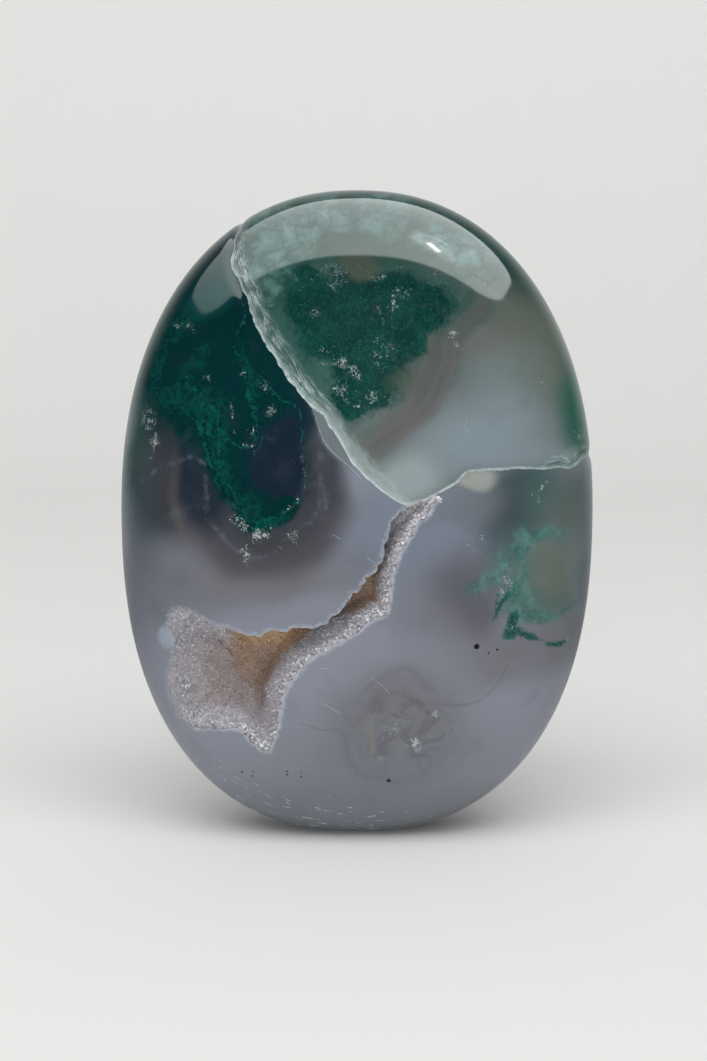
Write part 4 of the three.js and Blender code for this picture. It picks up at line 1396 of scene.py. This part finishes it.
# Painted shade: the crust near the face is greyed darker, where more light falls in.
colour = blend(tree, times(tree, field(tree, "near_face"), 0.7), colour, LIT_GREY)
colour = blend(tree, rise(tree, sugar, 0.42, 0.7, 0.0, 0.5), colour, DARK_GRAIN)
# Pale tips of a few crystals: partly whitish quartz, partly painted glints of light.
white_and_glint_tips = times(tree, field(tree, "tip"), rise(tree, field(tree, "sparkle"), 0.6, 0.95, 0.0, 0.9))
grains = rise(tree, sugar, 0.52, 0.38, 0.05, 1.0)
white = times(tree, field(tree, "white"), grains, rise(tree, patches, 0.35, 0.6, 0.4, 1.0))
brown_share = greatest(tree, rust_share, deep_share, times(tree, tan_share, 0.7))
calm = rise(tree, brown_share, 0.0, 1.0, 1.0, 0.15)
colour = blend(tree, times(tree, greatest(tree, white_and_glint_tips, white), calm), colour, QUARTZ_WHITE)
finish = {"Base Color": colour, "Roughness": 0.38, "IOR": 1.55}
finish |= {"Subsurface Weight": 0.4, "Subsurface Radius": (1.0, 0.9, 0.8), "Subsurface Scale": 0.5 * MM}
show(tree, add(tree, "ShaderNodeBsdfPrincipled", finish))
crust.data.materials.append(druse)
print("druse:", len(tree.nodes), "nodes")

# %% Pieces in the frame
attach(stone, "root")
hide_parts("agate_stone")
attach(crust, "root")
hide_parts("quartz_crust")
print("pieces:", stone.name, "and", crust.name)

# %% [markdown]
# ## Floor, light and camera
# The stone stands on a plain pale floor that sweeps up behind it into a wall, with no corner to see. A
# polished stone is mostly a mirror for its surroundings, so the light is arranged in two parts: what
# lights the stone, and what is mirrored in it. The floor fades from the mirror image with distance.

# %% Floor and wall
FLOOR_TONE = (0.81, 0.81, 0.8)
FLOOR_REACH = 1800
SWEEP_RADIUS = 150
WALL_Y = 380
WALL_TOP = 1100
sweep_angle = np.linspace(-np.pi / 2, 0, 17)
sweep_y = WALL_Y - SWEEP_RADIUS + SWEEP_RADIUS * np.cos(sweep_angle)
sweep_z = SWEEP_RADIUS + SWEEP_RADIUS * np.sin(sweep_angle)
profile_y = np.concatenate([[-FLOOR_REACH], sweep_y, [WALL_Y]])
profile_z = np.concatenate([[0], sweep_z, [WALL_TOP]])
count = len(profile_y)
sides = (-FLOOR_REACH, FLOOR_REACH)
ends = [np.column_stack([np.full(count, end_x), profile_y, profile_z]) for end_x in sides]
near = np.arange(count - 1)
strips = np.stack([near, near + count, near + count + 1, near + 1], axis=1)
floor = mesh_piece("floor", np.concatenate(ends), strips)
floor.data.shade_smooth()
floor_paint, tree = new_material("floor_paint")
from_stone = arrows(tree, "LENGTH", in_mm(tree), output="Value")
is_mirror = add(tree, "ShaderNodeLightPath").outputs["Is Glossy Ray"]
unseen = times(tree, is_mirror, rise(tree, from_stone, 20, 90, 0.35, 1.0))
paint = add(tree, "ShaderNodeBsdfDiffuse", {"Color": (*FLOOR_TONE, 1.0)})
clear = add(tree, "ShaderNodeBsdfTransparent")
show(tree, add(tree, "ShaderNodeMixShader", {0: unseen, 1: paint.outputs[0], 2: clear.outputs[0]}))
floor.data.materials.append(floor_paint)
print("floor and wall:", len(floor.data.polygons), "strips")

# %% Even glow
GLOW_LOW = 0.3
GLOW_HIGH = 0.45
world = bpy.data.worlds.new("studio")
bpy.context.scene.world = world
world.use_nodes = True
tree = world.node_tree
tree.nodes.clear()
direction = add(tree, "ShaderNodeTexCoord").outputs["Generated"]
towards = add(tree, "ShaderNodeSeparateXYZ", {0: direction})
away, upwards = towards.outputs[1], towards.outputs[2]
behind = times(tree, rise(tree, away, 0.35, 0.9, 0.012, 0.6), rise(tree, upwards, -0.35, 0.05, 0.3, 1.0))
below = rise(tree, upwards, -0.3, -0.9, 0.0, 0.2)
mirrored = greatest(tree, behind, below)
mirror_glow = add(tree, "ShaderNodeBackground", {"Color": (0.93, 0.98, 0.97, 1.0), "Strength": mirrored})
lighting = rise(tree, upwards, 0.0, 1.0, GLOW_LOW, GLOW_HIGH)
even_glow = add(tree, "ShaderNodeBackground", {"Color": (1.0, 1.0, 0.99, 1.0), "Strength": lighting})
is_mirror = add(tree, "ShaderNodeLightPath").outputs["Is Glossy Ray"]
glow = add(tree, "ShaderNodeMixShader", {0: is_mirror, 1: even_glow.outputs[0], 2: mirror_glow.outputs[0]})
show(tree, glow, "ShaderNodeOutputWorld")
print("glow from", GLOW_LOW, "at the horizon to", GLOW_HIGH, "overhead")

# %% Panel overhead, seen only as a reflection
PANEL_LOW = (-420, -192)
PANEL_HIGH = (350, 165)
PANEL_Z = 300
PANEL_CORNER = 105


def rounded_corners(low, high, radius, count=12):
    """Corners of a rounded rectangle: a quarter circle at each end of its sides."""
    angle = np.linspace(0, np.pi / 2, count)
    ends = [(high[0], high[1]), (low[0], high[1]), (low[0], low[1]), (high[0], low[1])]
    quarters = []
    for quarter, (x, y) in enumerate(ends):
        middle = np.array([x - np.sign(x) * radius, y - np.sign(y) * radius])
        turn = angle + quarter * np.pi / 2
        quarters.append(middle + radius * np.column_stack([np.cos(turn), np.sin(turn)]))
    return np.concatenate(quarters)


outline = rounded_corners(PANEL_LOW, PANEL_HIGH, PANEL_CORNER)
outline = np.column_stack([outline, np.full(len(outline), PANEL_Z)])
ceiling = mesh_piece("ceiling_panel", outline, np.arange(len(outline))[None, ::-1])
panel_glow, tree = new_material("panel_glow")
sideways = add(tree, "ShaderNodeSeparateXYZ", {0: in_mm(tree)}).outputs[0]
strength = rise(tree, sideways, -430, 140, 1.2, 4.5)
show(tree, add(tree, "ShaderNodeEmission", {"Color": (0.95, 1.0, 0.99, 1.0), "Strength": strength}))
ceiling.data.materials.append(panel_glow)
ceiling.visible_camera = ceiling.visible_diffuse = ceiling.visible_shadow = False
print("panel:", len(outline), "corners,", PANEL_Z, "mm above the floor")


# %% Lamps
def lamp(name, middle, size, radiance, turn=(0, 0, 0), mirrored=False, lights=True):
    """A rectangular lamp in millimetres. Its power is radiance times pi times its area."""
    light = bpy.data.lights.new(name, "AREA")
    light.shape = "RECTANGLE"
    light.size, light.size_y = size[0] * MM, size[1] * MM
    light.energy = radiance * np.pi * light.size * light.size_y
    holder = bpy.data.objects.new(name, light)
    holder.location = [value * MM for value in middle]
    holder.rotation_euler = np.radians(turn)
    holder.visible_glossy = mirrored
    holder.visible_diffuse = lights
    bpy.context.scene.collection.objects.link(holder)
    return holder


glint = lamp("glint_lamp", (116, -101, 292), (32, 13), 17.0, (0, 0, -40), mirrored=True, lights=False)
halo = lamp("halo_lamp", (122, -98, 294), (100, 48), 1.6, (0, 0, -30), mirrored=True, lights=False)
streak = lamp("streak_lamp", (120, -57, 292), (44, 5), 5.0, (0, 0, -7), mirrored=True, lights=False)
key = lamp("key_light", (0, -315, 590), (900, 400), 2.8, (28, 0, 0))
face = lamp("face_light", (-40, -640, 62), (520, 116), 9.0, (88, 0, -3))
print("lamps:", glint.name, halo.name, streak.name, key.name, face.name)

# %% [markdown]
# ## The camera
# The photograph looks a little down on the stone. A long lens from about a quarter of a metre keeps
# the oval true, where a short one from close by would make its middle swell. The standard view shows
# the light as it was reckoned, with no curve of a film over it.

# %% Camera
LENS = 85
ELEVATION = np.radians(10)
AIM = np.array([-0.38, 0.0, 33.03])
DISTANCE = 274.4
camera_data = bpy.data.cameras.new("camera")
camera_data.lens = LENS
camera = bpy.data.objects.new("camera", camera_data)
camera.location = (AIM + DISTANCE * np.array([0, -np.cos(ELEVATION), np.sin(ELEVATION)])) * MM
camera.rotation_euler = (np.pi / 2 - ELEVATION, 0, 0)
bpy.context.scene.collection.objects.link(camera)
bpy.context.scene.camera = camera
bpy.context.scene.view_settings.view_transform = "Standard"
print("camera:", LENS, "mm lens,", DISTANCE, "mm from", AIM)
